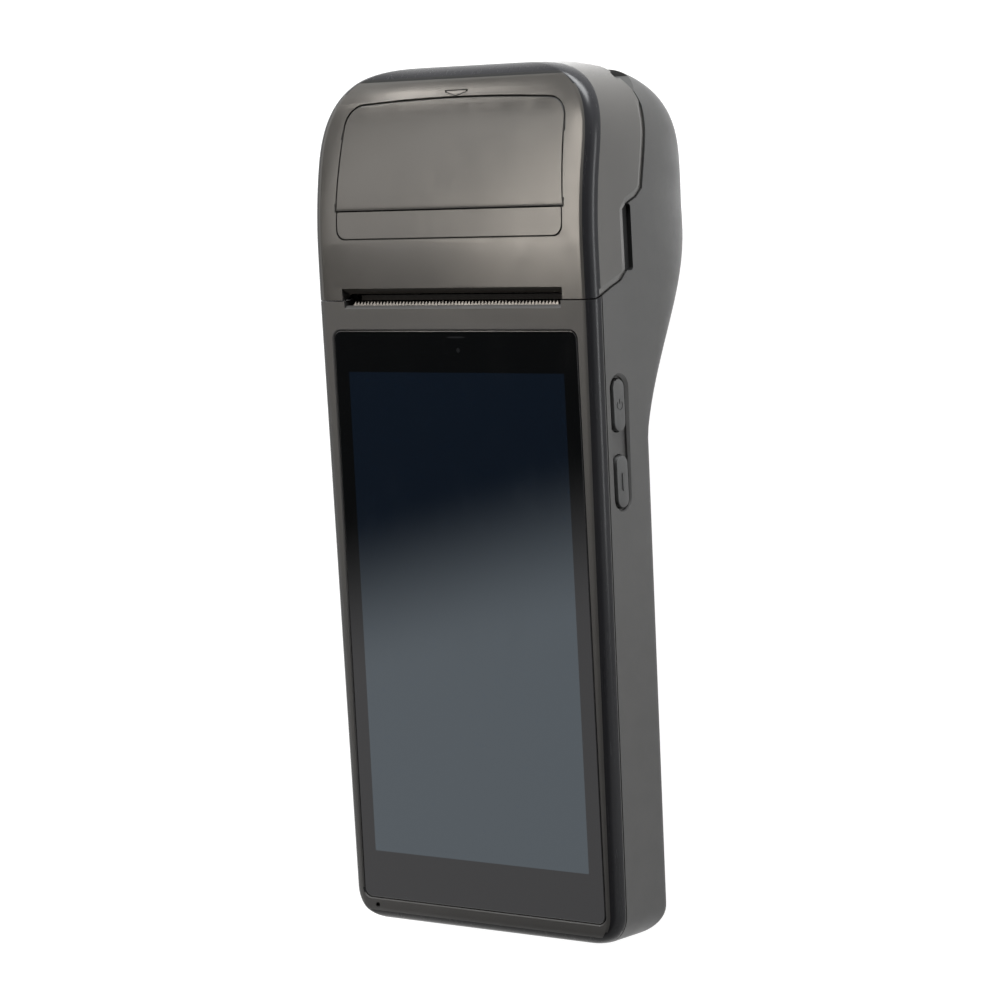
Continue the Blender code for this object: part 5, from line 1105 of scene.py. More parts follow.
def front_frame_mesh():
    shape = common(body_form(), whole_slab(-FRAME_THICKNESS, OVERRUN))
    shape = cut(shape, lid_space(GAP))
    seat = -GLASS_RECESS - GLASS_THICKNESS - GAP
    side = GAP / 2
    wide = side + GLASS_POCKET_EASE
    profile = ((side, seat), (side, -GLASS_POCKET_EASE), (wide, 0.0), (wide + OVERRUN / 4, OVERRUN / 4))
    pocket = stepped(profile, glass_outline, "Z")
    window = sweep(glass_outline(-LEDGE_WIDTH), "Z", -FRAME_THICKNESS - OVERRUN, OVERRUN)
    lip_y = TEAR_Y - TEAR_CHAMFER_FROM_SEAM
    slope = [
        (lip_y - 2 * TEAR_CHAMFER, TEAR_CHAMFER_DEPTH), (lip_y, -TEAR_CHAMFER_DEPTH),
        (lip_y, -FRAME_THICKNESS - OVERRUN), (TEAR_Y + OVERRUN, -FRAME_THICKNESS - OVERRUN),
        (TEAR_Y + OVERRUN, TEAR_CHAMFER_DEPTH),
    ]
    slope_cut = sweep(slope, "X", -TEAR_CHAMFER_HALF_WIDTH, TEAR_CHAMFER_HALF_WIDTH)
    under = TEAR_BAR_HALF_WIDTH + 2 * GAP
    low = TEAR_Y - TEAR_BAR_LENGTH - 2 * GAP
    blade = block(-under, under, low, TEAR_Y + OVERRUN, -FRAME_THICKNESS - OVERRUN, -TEAR_LIP)
    wide = MIC_RADIUS * MIC_FLARE
    hole = [(MIC_RADIUS, -MIC_DEPTH), (MIC_RADIUS, -MIC_FLARE_DEPTH), (wide, 0.0), (wide, OVERRUN)]
    place = (MIC_X, MIC_Y)
    microphone = skinned(
        [[(x, y, z) for x, y in circle(place, size, SMALL_ROUND_STEPS)] for size, z in hole]
    )
    return cut(shape, pocket, window, slope_cut, blade, microphone)


# Printer lid and release lever
def arch_outline(margin=0.0):
    """The lever's outline on the lid's face: straight below, arched above."""
    low = LEVER_Y - margin
    high = LEVER_Y + LEVER_HEIGHT - LEVER_ARCH
    centre = (LEVER_TOP_HALF_WIDTH - LEVER_CORNER, high - LEVER_CORNER)
    right = [(LEVER_HALF_WIDTH + margin, low)] + arc(centre, LEVER_CORNER + margin, 0.0, RIGHT_ANGLE)
    crown = []
    for step in range(1, FACE_STEPS):
        across = 1.0 - 2.0 * step / FACE_STEPS
        crown.append((centre[0] * across, high + margin + LEVER_ARCH * (1.0 - across**2)))
    return right + crown + [(-x, y) for x, y in reversed(right)]


def face_profile(start, end, shallow, deep):
    """A strip (y, z) that follows the lid's face between two depths."""
    ys = [start + (end - start) * step / FACE_STEPS for step in range(FACE_STEPS + 1)]
    return [(y, face_z(y) - shallow) for y in ys] + [(y, face_z(y) - deep) for y in reversed(ys)]


def along_face(points, depth):
    """Points (x, y) laid on the lid's face, at a depth below it."""
    return [(x, y, face_z(y) - depth) for x, y in points]


def lever_axis_z():
    return face_z(LEVER_AXIS_Y) - LEVER_BARREL_RADIUS


def lever_pin_hole():
    reach = LEVER_PIN_REACH + GAP
    outline = circle((LEVER_AXIS_Y, lever_axis_z()), LEVER_PIN_RADIUS + GAP, SMALL_ROUND_STEPS)
    return sweep(outline, "X", -reach, reach)


def lever_pocket():
    reach = LEVER_HALF_WIDTH + OVERRUN
    end = LEVER_Y + LEVER_HEIGHT + OVERRUN
    strip = sweep(face_profile(LEVER_Y - OVERRUN, end, -OVERRUN, LEVER_THICKNESS + GAP), "X", -reach, reach)
    pocket = common(strip, sweep(arch_outline(GAP), "Z", -LEVER_POCKET_REACH, OVERRUN))
    above = (-reach, reach, LEVER_Y - LEVER_HEEL_GAP, end, -SIDE_DEPTH, 2 * OVERRUN)
    pocket = common(pocket, block(*above))
    ease = LEVER_POCKET_EASE
    loops = []
    for margin, depth in ((GAP, ease), (GAP + ease, 0.0), (GAP + 3 * ease, -2 * ease)):
        loops.append(along_face(arch_outline(margin), depth))
    flare = common(skinned(loops), block(*above))
    side = LEVER_HALF_WIDTH + GAP
    window = block(-side, side, LEVER_Y - LEVER_HEEL_GAP, LEVER_Y + LEVER_WINDOW, -SIDE_DEPTH, OVERRUN)
    window = common(window, sweep(arch_outline(GAP), "Z", -SIDE_DEPTH - OVERRUN, 2 * OVERRUN))
    low = LEVER_Y - GAP - LEVER_HEEL_ROOM
    heel_room = block(-side, side, low, LEVER_Y, -SIDE_DEPTH, face_z(LEVER_Y) - LEVER_HEEL_LIP)
    return pocket, flare, window, heel_room


def panel_line():
    """A fine groove round the strip below the lever."""
    groove = []
    side = LEVER_HALF_WIDTH
    high = LEVER_Y + OVERRUN / 4
    for margin in (0.0, -PANEL_LINE_WIDTH):
        reach, low = side + margin, PANEL_LINE_Y - margin
        groove.append(rounded_rectangle(-reach, reach, low, high, PANEL_LINE_CORNER))
    depth = PANEL_LINE_DEPTH
    outer = skinned([along_face(groove[0], depth), along_face(groove[0], -depth)])
    inner = skinned([along_face(groove[1], 2 * depth), along_face(groove[1], -2 * depth)])
    return cut(outer, inner)


def chevron():
    """A thin closed line in the lid's upper rim: straight above, a wide shallow point below."""
    rings = []
    for margin in (0.0, -CHEVRON_LINE):
        half, high = CHEVRON_HALF_WIDTH + 2 * margin, CHEVRON_Y + margin
        shoulder, point = CHEVRON_Y - CHEVRON_SHOULDER - margin / 2, CHEVRON_Y - CHEVRON_HEIGHT - margin
        rings.append([(-half, shoulder), (0.0, point), (half, shoulder), (half, high), (-half, high)])
    depth = PANEL_LINE_DEPTH
    outer = skinned([along_face(rings[0], depth), along_face(rings[0], -2 * depth)])
    inner = skinned([along_face(rings[1], 2 * depth), along_face(rings[1], -3 * depth)])
    return cut(outer, inner)


def slot_cut():
    """The paper slot in the lid's front edge, with a sloped strip along its upper side."""
    low = TEAR_Y - OVERRUN
    lip = TEAR_Y + SLOT_LIP
    through = rounded_rectangle(-SLOT_HALF_WIDTH, SLOT_HALF_WIDTH, low, lip, SLOT_CORNER)
    slope = [
        (lip - SLOT_CORNER - GAP, -SLOT_CHAMFER_DEPTH), (lip, -SLOT_CHAMFER_DEPTH),
        (lip + 2 * SLOT_CHAMFER, SLOT_CHAMFER_DEPTH), (lip - SLOT_CORNER - GAP, SLOT_CHAMFER_DEPTH),
    ]
    return (
        sweep(through, "Z", -WALL - OVERRUN / 2, OVERRUN),
        sweep(slope, "X", -SLOT_HALF_WIDTH, SLOT_HALF_WIDTH),
    )


def lid_mesh():
    lid = cut(common(body_form(), lid_space()), hollow())
    centre = (HINGE_Y, HINGE_Z)
    side = HINGE_HALF_WIDTH
    barrel = sweep(circle(centre, HINGE_RADIUS), "X", -side, side)
    lug_room = both_sides(sweep(circle(centre, HINGE_RADIUS + GAP), "X", side, hinge_reach() + GAP))
    left = LEVER_HALF_WIDTH + GAP
    axis = (LEVER_AXIS_Y, lever_axis_z())
    boss = sweep(circle(axis, LEVER_BOSS_RADIUS), "X", left, left + LEVER_BOSS_WIDTH)
    lid = fused(cut(lid, lug_room), barrel, both_sides(boss))
    pin = hinge_pin_hole()
    lever_pin = lever_pin_hole()
    places = [(x, LID_SCREW_Y) for x in (-LID_SCREW_SPACING, 0.0, LID_SCREW_SPACING)]
    screw_room = bosses(places, SMALL_SCREW_RADIUS + GAP, -SIDE_DEPTH, LID_SCREW_TOP)
    return cut(lid, *slot_cut(), *lever_pocket(), pin, lever_pin, screw_room, panel_line(), chevron())


def distance_to_seam(y, z):
    """Distance of a point (y, z) on the lid's side from its seam edge."""
    path = seam_path()
    best = math.inf
    for (y0, z0), (y1, z1) in zip(path, path[1:]):
        along = ((y - y0) * (y1 - y0) + (z - z0) * (z1 - z0)) / ((y1 - y0) ** 2 + (z1 - z0) ** 2)
        along = min(max(along, 0.0), 1.0)
        best = min(best, math.hypot(y - y0 - along * (y1 - y0), z - z0 - along * (z1 - z0)))
    return best


def printer_lid_mesh():
    """The lid, with a bevelled strip along its seam on both sides."""
    inner = common(lid_mesh(), lid_space(-SEAM_BEVEL))
    rim = cut(lid_mesh(), lid_space(-SEAM_BEVEL))
    for vertex in rim.vertices:
        x, y, z = vertex.co
        if abs(x) > PRINTER_HALF_WIDTH - 2 * WALL and z < -EDGE_RADIUS and y < HINGE_Y - OVERRUN:
            share = max(0.0, 1.0 - distance_to_seam(y, z) / SEAM_BEVEL)
            vertex.co.x = x - math.copysign(SEAM_BEVEL_DEPTH * share, x)
    return joined([inner, rim])


def undercut_arch():
    """The lever's outline swept inwards and down, so that its top edge clears the pocket as it lifts."""
    edge = face_z(LEVER_Y + LEVER_HEIGHT)
    ease = LEVER_EASE
    loops = []
    for z in (-SIDE_DEPTH, OVERRUN):
        slope = LEVER_UNDERCUT_SHARE * (z - edge) / LEVER_HEIGHT
        loops.append([(x, y + slope * max(y - LEVER_Y, 0.0), z) for x, y in arch_outline()])
    panel = skinned(loops)
    easing = ((3 * ease, SIDE_DEPTH), (3 * ease, 4 * ease), (0.0, ease), (-ease, 0.0), (-ease, -OVERRUN))
    return common(panel, skinned([along_face(arch_outline(margin), depth) for margin, depth in easing]))


def lever_finish(centre, normal):
    """The lever's finish at a face: satin, and dark matt on the eased edge that faces its pocket, as painted
    shade along its outline.
    """
    depth = face_z(centre[1]) - centre[2]
    return 1 if LINE_TOP < depth < PANEL_LINE_DEPTH and 0.0 < normal[2] < LEVER_EDGE_FACING else 0


def release_lever_mesh():
    """The panel in the lid's face, its pivot barrel and the two latch arms behind it."""
    axis_z = lever_axis_z()
    end = LEVER_Y + LEVER_HEIGHT + OVERRUN
    strip = face_profile(LEVER_AXIS_Y, end, 0.0, LEVER_THICKNESS)
    centre = (LEVER_AXIS_Y, axis_z)
    barrel = arc(centre, LEVER_BARREL_RADIUS, -RIGHT_ANGLE / 2, -STRAIGHT_ANGLE, ROUND_STEPS // 2)
    reach = LEVER_BARREL_RADIUS - LEVER_HEEL_RADIUS
    heel = (LEVER_AXIS_Y - reach, axis_z + reach)
    barrel += arc(heel, LEVER_HEEL_RADIUS, STRAIGHT_ANGLE, RIGHT_ANGLE, LEVER_HEEL_STEPS)
    reach = LEVER_HALF_WIDTH + OVERRUN
    panel = common(sweep(strip[1:-1] + barrel, "X", -reach, reach), undercut_arch())
    foot = axis_z - LEVER_ARM_LENGTH
    arm = [
        (LEVER_AXIS_Y + LEVER_BARREL_RADIUS / 2, axis_z), (LEVER_AXIS_Y - LEVER_BARREL_RADIUS / 2, axis_z),
        (LEVER_AXIS_Y - LEVER_ARM_WIDTH, foot + LEVER_NOSE_THICKNESS),
        (LEVER_AXIS_Y - LEVER_ARM_WIDTH - LEVER_NOSE, foot + LEVER_NOSE_THICKNESS),
        (LEVER_AXIS_Y - LEVER_ARM_WIDTH - LEVER_NOSE / 2, foot), (LEVER_AXIS_Y, foot),
    ]
    arms = both_sides(sweep(arm, "X", LEVER_ARM_INNER, LEVER_ARM_INNER + LEVER_ARM_THICKNESS))
    half = LEVER_SPRING_ROOM
    low, high = LEVER_Y - OVERRUN, LEVER_AXIS_Y + LEVER_BARREL_RADIUS
    spring_room = block(-half, half, low, high, -SIDE_DEPTH, face_z(LEVER_Y) - LEVER_SKIN)
    pin = lever_pin_hole()
    return cut(fused(panel, arms), spring_room, pin)


# Keys and their marks
def ring_arc(centre, radius, line, start, end, x_low, x_high):
    outer = arc(centre, radius + line / 2, start, end, RING_STEPS)
    inner = arc(centre, radius - line / 2, end, start, RING_STEPS)
    return sweep(outer + inner, "X", x_low, x_high)


def side_key_mesh(middle, mark):
    """A key with an eased cap, the flange that keeps it in, its stem and its raised mark."""
    flange = key_wall_x() - WALL - 2 * GAP
    face = key_wall_x() + KEY_PROUD
    profile = ((0.0, flange - KEY_FLANGE_THICKNESS / 2), *eased(face, KEY_EASE))
    outline = lambda margin: stadium(middle, KEY_LENGTH + 2 * margin, KEY_HEIGHT + 2 * margin)
    cap = stepped(profile, outline, "X")
    rim = stadium(middle, KEY_LENGTH + 2 * KEY_FLANGE, KEY_HEIGHT + 2 * KEY_FLANGE)
    inner = sweep(rim, "X", flange - KEY_FLANGE_THICKNESS, flange)
    stem_end = flange - KEY_FLANGE_THICKNESS - KEY_STEM_LENGTH
    stem = sweep(circle(middle, KEY_STEM_RADIUS, SMALL_ROUND_STEPS), "X", stem_end, flange)
    key = fused(inner, cap, stem)
    y, z = middle
    if mark == "bar":
        bar = stadium(middle, KEY_BAR_LENGTH, KEY_BAR_WIDTH)
        return fused(key, sweep(bar, "X", face - GAP, face + KEY_BAR_HEIGHT))
    low, high = face - POWER_DEPTH, face + OVERRUN
    end = 2 * STRAIGHT_ANGLE - POWER_OPENING
    ring = ring_arc(middle, POWER_RADIUS, POWER_LINE, POWER_OPENING, end, low, high)
    half = POWER_LINE / 2
    stroke = sweep(
        rectangle(y + POWER_STROKE_START, y + POWER_STROKE_END, z - half, z + half), "X", low, high
    )
    return cut(key, ring, stroke)


# Geometry Nodes
def node_group(name, inputs):
    """A geometry node tree with named number inputs, which hold (name, socket type, default)."""
    tree = bpy.data.node_groups.new(name, "GeometryNodeTree")
    tree.interface.new_socket("Geometry", in_out="INPUT", socket_type="NodeSocketGeometry")
    for label, kind, default in inputs:
        socket = tree.interface.new_socket(label, in_out="INPUT", socket_type=kind)
        if default is not None:
            socket.default_value = default
    tree.interface.new_socket("Geometry", in_out="OUTPUT", socket_type="NodeSocketGeometry")
    return tree, tree.nodes.new("NodeGroupInput"), tree.nodes.new("NodeGroupOutput")


def finish_tree(tree, result, geometry, given):
    """Realises what a tree has made and gives it its finish."""
    real = tree.nodes.new("GeometryNodeRealizeInstances")
    tree.links.new(geometry, real.inputs["Geometry"])
    paint = tree.nodes.new("GeometryNodeSetMaterial")
    tree.links.new(real.outputs["Geometry"], paint.inputs["Geometry"])
    tree.links.new(given.outputs["Finish"], paint.inputs["Material"])
    tree.links.new(paint.outputs["Geometry"], result.inputs["Geometry"])
    return tree


def instances(tree, given, points):
    """The pattern object's mesh on each point."""
    pattern = tree.nodes.new("GeometryNodeObjectInfo")
    tree.links.new(given.outputs["Pattern"], pattern.inputs["Object"])
    spread = tree.nodes.new("GeometryNodeInstanceOnPoints")
    tree.links.new(points, spread.inputs["Points"])
    tree.links.new(pattern.outputs["Geometry"], spread.inputs["Instance"])
    return spread.outputs["Instances"]


def row_tree(name):
    """A pattern repeated by one step along a line, joined to the mesh that carries it."""
    inputs = (
        ("Count", "NodeSocketInt", 2), ("Step", "NodeSocketVector", (0.001, 0.0, 0.0)),
        ("Pattern", "NodeSocketObject", None), ("Finish", "NodeSocketMaterial", None),
    )
    tree, given, result = node_group(name, inputs)
    line = tree.nodes.new("GeometryNodeMeshLine")
    line.mode = "OFFSET"
    tree.links.new(given.outputs["Count"], line.inputs["Count"])
    tree.links.new(given.outputs["Step"], line.inputs["Offset"])
    merge = tree.nodes.new("GeometryNodeJoinGeometry")
    tree.links.new(given.outputs["Geometry"], merge.inputs["Geometry"])
    tree.links.new(instances(tree, given, line.outputs["Mesh"]), merge.inputs["Geometry"])
    return finish_tree(tree, result, merge.outputs["Geometry"], given)


def places_tree(name):
    """A pattern on each point of the mesh."""
    inputs = (("Pattern", "NodeSocketObject", None), ("Finish", "NodeSocketMaterial", None))
    tree, given, result = node_group(name, inputs)
    return finish_tree(tree, result, instances(tree, given, given.outputs["Geometry"]), given)


def with_tree(mesh, tree, pattern, values):
    """The plain mesh that a geometry node tree makes of a mesh and a pattern."""
    shape = bpy.data.objects.new("pattern", pattern)
    values = {**values, "Pattern": shape}
    holder = bpy.data.objects.new("holder", mesh)
    bpy.context.scene.collection.objects.link(holder)
    modifier = holder.modifiers.new("nodes", "NODES")
    modifier.node_group = tree
    for item in tree.interface.items_tree:
        if item.in_out == "INPUT" and item.name in values:
            modifier[item.identifier] = values[item.name]
    bpy.context.view_layer.update()
    result = bpy.data.meshes.new_from_object(holder.evaluated_get(bpy.context.evaluated_depsgraph_get()))
    bpy.data.objects.remove(holder)
    bpy.data.objects.remove(shape)
    bpy.data.meshes.remove(mesh)
    bpy.data.meshes.remove(pattern)
    return result


def points_mesh(places):
    mesh = bpy.data.meshes.new("places")
    mesh.from_pydata([(x, y, 0.0) for x, y in places], [], [])
    return mesh


def tear_bar_mesh(settings):
    """A steel blade with a row of bevelled saw teeth along its upper edge."""
    front = -TEAR_LIP - GAP
    back = front - TEAR_BAR_THICKNESS
    root = TEAR_Y - GAP - TOOTH_DEPTH
    blade = block(-TEAR_BAR_HALF_WIDTH, TEAR_BAR_HALF_WIDTH, TEAR_Y - TEAR_BAR_LENGTH, root, back, front)
    pitch = 2 * TEAR_BAR_HALF_WIDTH / settings.tooth_count
    slope = TEAR_BAR_THICKNESS * TOOTH_BEVEL_SHARE
    loops = []
    for half, y, face in ((pitch / 2, root, front), (TOOTH_TIP, root + TOOTH_DEPTH, front - slope)):
        loops.append([(-half, y, back), (half, y, back), (half, y, face), (-half, y, face)])
    tooth = skinned(loops)
    first = -TEAR_BAR_HALF_WIDTH + pitch / 2
    for vertex in tooth.vertices:
        vertex.co.x += first
    values = {"Count": settings.tooth_count, "Step": (pitch, 0.0, 0.0), "Finish": finish("blade_steel")}
    return with_tree(blade, row_tree("Saw teeth"), tooth, values)


def grille_cutter():
    """The speaker's slots, one above the other."""
    first = GRILLE_Y - GRILLE_PITCH * (GRILLE_SLOTS - 1) / 2
    outline = stadium((GRILLE_X, first), GRILLE_LENGTH, GRILLE_WIDTH)
    slot = sweep(outline, "Z", -SIDE_DEPTH - OVERRUN, INNER_BACK + GAP)
    values = {"Count": GRILLE_SLOTS, "Step": (0.0, GRILLE_PITCH, 0.0), "Finish": finish("case_satin")}
    return with_tree(bpy.data.meshes.new("grille"), row_tree("Grille slots"), slot, values)


def screws_mesh(places, head_low, tip, head):
    """Like screws at their places."""
    pattern = screw_mesh((0.0, 0.0), head_low, tip, head)
    return with_tree(points_mesh(places), places_tree("Screws"), pattern, {"Finish": finish("screw_steel")})


def screw_mesh(place, head_low, tip, head, radius=SCREW_RADIUS, head_radius=SCREW_HEAD_RADIUS):
    """A pan-head screw that points to the front, with an eased head and a cross recess."""
    ease = head * SCREW_EASE_SHARE
    profile = (
        (head_radius - ease, head_low), (head_radius, head_low + ease), (head_radius, head_low + head),
        (radius, head_low + head), (radius, tip - radius / 2), (radius / 3, tip),
    )
    body = skinned([[(x, y, z) for x, y in circle(place, size, SCREW_STEPS)] for size, z in profile])
    x, y = place
    arm, wide = head_radius * CROSS_ARM_SHARE, head_radius * CROSS_WIDTH_SHARE
    deep = min(head * CROSS_DEPTH_SHARE, CROSS_DEEPEST)
    across = block(x - arm, x + arm, y - wide, y + wide, head_low - GAP, head_low + deep)
    upright = block(x - wide, x + wide, y - arm, y + arm, head_low - GAP, head_low + deep)
    return cut(body, across, upright)


# Settings
class TerminalSizes(bpy.types.PropertyGroup):
    tooth_count: IntProperty(
        name="Saw teeth", description="Teeth along the tear bar", default=62, min=8, max=200
    )
    glass_edge: FloatProperty(
        name="Glass edge", description="Width of the eased edge round the cover glass", default=0.25 * MM,
        min=0.0, unit="LENGTH"
    )
    cover_edge: FloatProperty(
        name="Cover edge", description="Width of the eased edge round the battery cover", default=0.25 * MM,
        min=0.0, unit="LENGTH"
    )


class TerminalFinishes(bpy.types.PropertyGroup):
    case_colour: FloatVectorProperty(
        name="Case", description="Colour of the rear shell and the front frame", subtype="COLOR",
        default=(0.050, 0.049, 0.048), min=0.0, max=1.0
    )
    case_roughness: FloatProperty(
        name="Case roughness", description="Roughness of the rear shell and the front frame",
        subtype="FACTOR", default=0.42, min=0.1, max=1.0
    )
    lid_colour: FloatVectorProperty(
        name="Lid", description="Colour of the printer lid and its lever", subtype="COLOR",
        default=(0.066, 0.063, 0.059), min=0.0, max=1.0
    )
    lid_roughness: FloatProperty(
        name="Lid roughness", description="Roughness of the printer lid and its lever", subtype="FACTOR",
        default=0.12, min=0.1, max=1.0
    )
    key_colour: FloatVectorProperty(
        name="Keys", description="Colour of the side keys", subtype="COLOR", default=(0.050, 0.050, 0.050),
        min=0.0, max=1.0
    )
    # The inside colour is also the colour of the painted shade in the grooves and fine lines
    inner_colour: FloatVectorProperty(
        name="Inside", description="Colour of the plastic parts inside", subtype="COLOR",
        default=(0.020, 0.020, 0.020), min=0.0, max=1.0
    )
    # Painted dark reflection: the front edge gets a darker colour than the case, standing in for the dark
    # surroundings it mirrors
    edge_painted_dark_colour: FloatVectorProperty(
        name="Edge", description="Colour of the polished front edge", subtype="COLOR",
        default=(0.018, 0.018, 0.020), min=0.0, max=1.0
    )
    edge_roughness: FloatProperty(
        name="Edge roughness", description="Roughness of the polished front edge", subtype="FACTOR",
        default=0.26, min=0.02, max=1.0
    )
    border_colour: FloatVectorProperty(
        name="Glass border", description="Colour behind the glass round the display", subtype="COLOR",
        default=(0.003, 0.0035, 0.004), min=0.0, max=1.0
    )
    display_colour: FloatVectorProperty(
        name="Display", description="Colour of the unlit display", subtype="COLOR",
        default=(0.004, 0.0085, 0.018), min=0.0, max=1.0
    )
    steel_colour: FloatVectorProperty(
        name="Steel", description="Colour of pins, blade and springs", subtype="COLOR",
        default=(0.55, 0.54, 0.52), min=0.0, max=1.0
    )
    aluminium_colour: FloatVectorProperty(
        name="Aluminium", description="Colour of the chassis and the heat sink", subtype="COLOR",
        default=(0.60, 0.60, 0.60), min=0.0, max=1.0
    )


class TerminalStudio(bpy.types.PropertyGroup):
    world_level: FloatProperty(
        name="World", description="Strength of the plain surrounding light", default=0.03, min=0.0
    )
    lamp_level: FloatProperty(
        name="Lamps", description="Share of the lamps' power", subtype="FACTOR", default=1.0, min=0.0, max=4.0
    )
    floor_level: FloatProperty(
        name="Floor", description="Share of the floor's plain white that the camera sees", subtype="FACTOR",
        default=0.72, min=0.0, max=1.0
    )


# Operators
class TERMINAL_OT_camera(bpy.types.Operator):
    """Add the camera at the photograph's viewing angle"""

    bl_idname = "terminal.camera"
    bl_label = "Camera"

    def execute(self, context):
        cy, sy = math.cos(CAMERA_YAW), math.sin(CAMERA_YAW)
        cp, sp = math.cos(CAMERA_PITCH), math.sin(CAMERA_PITCH)
        cr, sr = math.cos(CAMERA_ROLL), math.sin(CAMERA_ROLL)
        yaw = Matrix(((cy, 0.0, sy), (0.0, 1.0, 0.0), (-sy, 0.0, cy)))
        pitch = Matrix(((1.0, 0.0, 0.0), (0.0, cp, -sp), (0.0, sp, cp)))
        roll = Matrix(((cr, -sr, 0.0), (sr, cr, 0.0), (0.0, 0.0, 1.0)))
        seen = roll @ pitch @ yaw @ Matrix.Diagonal((1.0, -1.0, -1.0))
        place = -(seen.transposed() @ Vector(CAMERA_OFFSET_MM)) * MM
        turn = Matrix((seen[0], -seen[1], -seen[2])).transposed().to_4x4()
        data = bpy.data.cameras.new("camera")
        data.sensor_fit = "HORIZONTAL"
        data.sensor_width = SENSOR_WIDTH_MM
        data.lens = FOCAL_PIXELS / FRAME_PIXELS * SENSOR_WIDTH_MM
        data.clip_start = CLIP_START
        data.clip_end = CLIP_END
        camera = bpy.data.objects.new("camera", data)
        context.scene.collection.objects.link(camera)
        camera.matrix_world = DEVICE @ Matrix.Translation(place) @ turn
        context.scene.camera = camera
        return {"FINISHED"}


# Lamps in the terminal's own axes: metres, watts, and the roll in degrees. A soft edge is the share of the
# lamp's height over which its light fades to the upper edge.
LAMPS = (
    dict(
        name="glass_lamp", place=(-0.672, -0.22, 0.80), target=(-0.672, -0.22, 0.0), size=(0.34, 0.28),
        power=0.40, colour=(0.88, 0.87, 0.89), roll=14.0, soft_edge=0.30
    ),
    dict(
        name="lid_lamp", place=(-0.28, 0.23, 0.45), target=(-0.28, 0.23, 0.0), size=(0.15, 0.36),
        power=1.32, colour=(1.0, 0.92, 0.82)
    ),
    dict(
        name="lid_left_lamp", place=(-0.43, 0.23, 0.45), target=(-0.43, 0.23, 0.0), size=(0.12, 0.36),
        power=0.324, colour=(1.0, 0.95, 0.89)
    ),
    dict(
        name="rim_left_lamp", place=(-0.417, 0.420, 0.340), target=(-0.014, 0.118, -0.006),
        size=(0.028, 0.06), power=0.118, colour=(1.0, 0.93, 0.85)
    ),
    dict(
        name="rim_right_lamp", place=(-0.357, 0.428, 0.345), target=(0.01, 0.118, -0.006),
        size=(0.05, 0.06), power=0.045, colour=(1.0, 0.93, 0.85)
    ),
    dict(
        name="top_lamp", place=(0.05, 0.60, 0.10), target=(0.0, 0.12, -0.01), size=(0.40, 0.20),
        power=6.5, colour=(0.97, 0.99, 1.0)
    ),
    dict(
        name="right_lamp", place=(0.45, 0.10, -0.02), target=(0.04, 0.06, -0.03), size=(0.30, 0.05),
        power=0.90, colour=(0.97, 0.99, 1.0)
    ),
)


def aimed(place, target, roll):
    """Where a lamp stands, aimed at its target, with its width along the terminal's width or length."""
    start, end = Vector(place), Vector(target)
    back = (start - end).normalized()
    along = Vector((1.0, 0.0, 0.0)) if abs(back.x) < SIDEWAYS else Vector((0.0, 1.0, 0.0))
    across = (along - along.dot(back) * back).normalized()
    turn = Matrix((across, back.cross(across), back)).transposed().to_4x4()
    return DEVICE @ Matrix.Translation(start) @ turn @ Matrix.Rotation(math.radians(roll), 4, "Z")


def lamp(name, place, target, size, power, colour, roll=0.0, soft_edge=0.0):
    """A rectangular lamp in the terminal's own axes, whose light may fade to its upper edge."""
    data = bpy.data.lights.new(name, "AREA")
    data.shape = "RECTANGLE"
    data.size, data.size_y = size
    data.energy = power
    data.color = colour
    if soft_edge:
        data.use_nodes = True
        tree = data.node_tree
        emission = tree.nodes["Emission"]
        spot = tree.nodes.new("ShaderNodeNewGeometry")
        split = tree.nodes.new("ShaderNodeSeparateXYZ")
        tree.links.new(spot.outputs["Parametric"], split.inputs["Vector"])
        fade = tree.nodes.new("ShaderNodeMapRange")
        fade.interpolation_type = "SMOOTHSTEP"
        fade.inputs["From Min"].default_value = 0.0
        fade.inputs["From Max"].default_value = soft_edge
        from_top = tree.nodes.new("ShaderNodeMath")
        from_top.operation = "SUBTRACT"
        from_top.inputs[0].default_value = 1.0
        tree.links.new(split.outputs["Y"], from_top.inputs[1])
        tree.links.new(from_top.outputs[0], fade.inputs["Value"])
        tree.links.new(fade.outputs["Result"], emission.inputs["Strength"])
    thing = bpy.data.objects.new(name, data)
    bpy.context.scene.collection.objects.link(thing)
    thing.matrix_world = aimed(place, target, roll)
    return thing


def floor_material(level):
    """White floor and walls: plain white where seen or mirrored, with the object's soft shadow."""
    material = bpy.data.materials.new("studio_white")
    material.use_nodes = True
    tree = material.node_tree
    tree.nodes.clear()
    nodes, links = tree.nodes, tree.links
    path = nodes.new("ShaderNodeLightPath")
    first = nodes.new("ShaderNodeMath")
    first.operation = "MAXIMUM"
    links.new(path.outputs["Is Camera Ray"], first.inputs[0])
    links.new(path.outputs["Is Glossy Ray"], first.inputs[1])
    second = nodes.new("ShaderNodeMath")
    second.operation = "MAXIMUM"
    links.new(first.outputs[0], second.inputs[0])
    links.new(path.outputs["Is Transmission Ray"], second.inputs[1])
    share = nodes.new("ShaderNodeMath")
    share.operation = "MULTIPLY"
    links.new(second.outputs[0], share.inputs[0])
    share.inputs[1].default_value = level
    matt = nodes.new("ShaderNodeBsdfDiffuse")
    matt.inputs["Color"].default_value = FLOOR_GREY
    plain = nodes.new("ShaderNodeEmission")
    plain.inputs["Color"].default_value = WHITE
    plain.inputs["Strength"].default_value = 1.0 / level
    mix = nodes.new("ShaderNodeMixShader")
    links.new(share.outputs[0], mix.inputs["Fac"])
    links.new(matt.outputs["BSDF"], mix.inputs[1])
    links.new(plain.outputs["Emission"], mix.inputs[2])
    output = nodes.new("ShaderNodeOutputMaterial")
    links.new(mix.outputs["Shader"], output.inputs["Surface"])
    return material


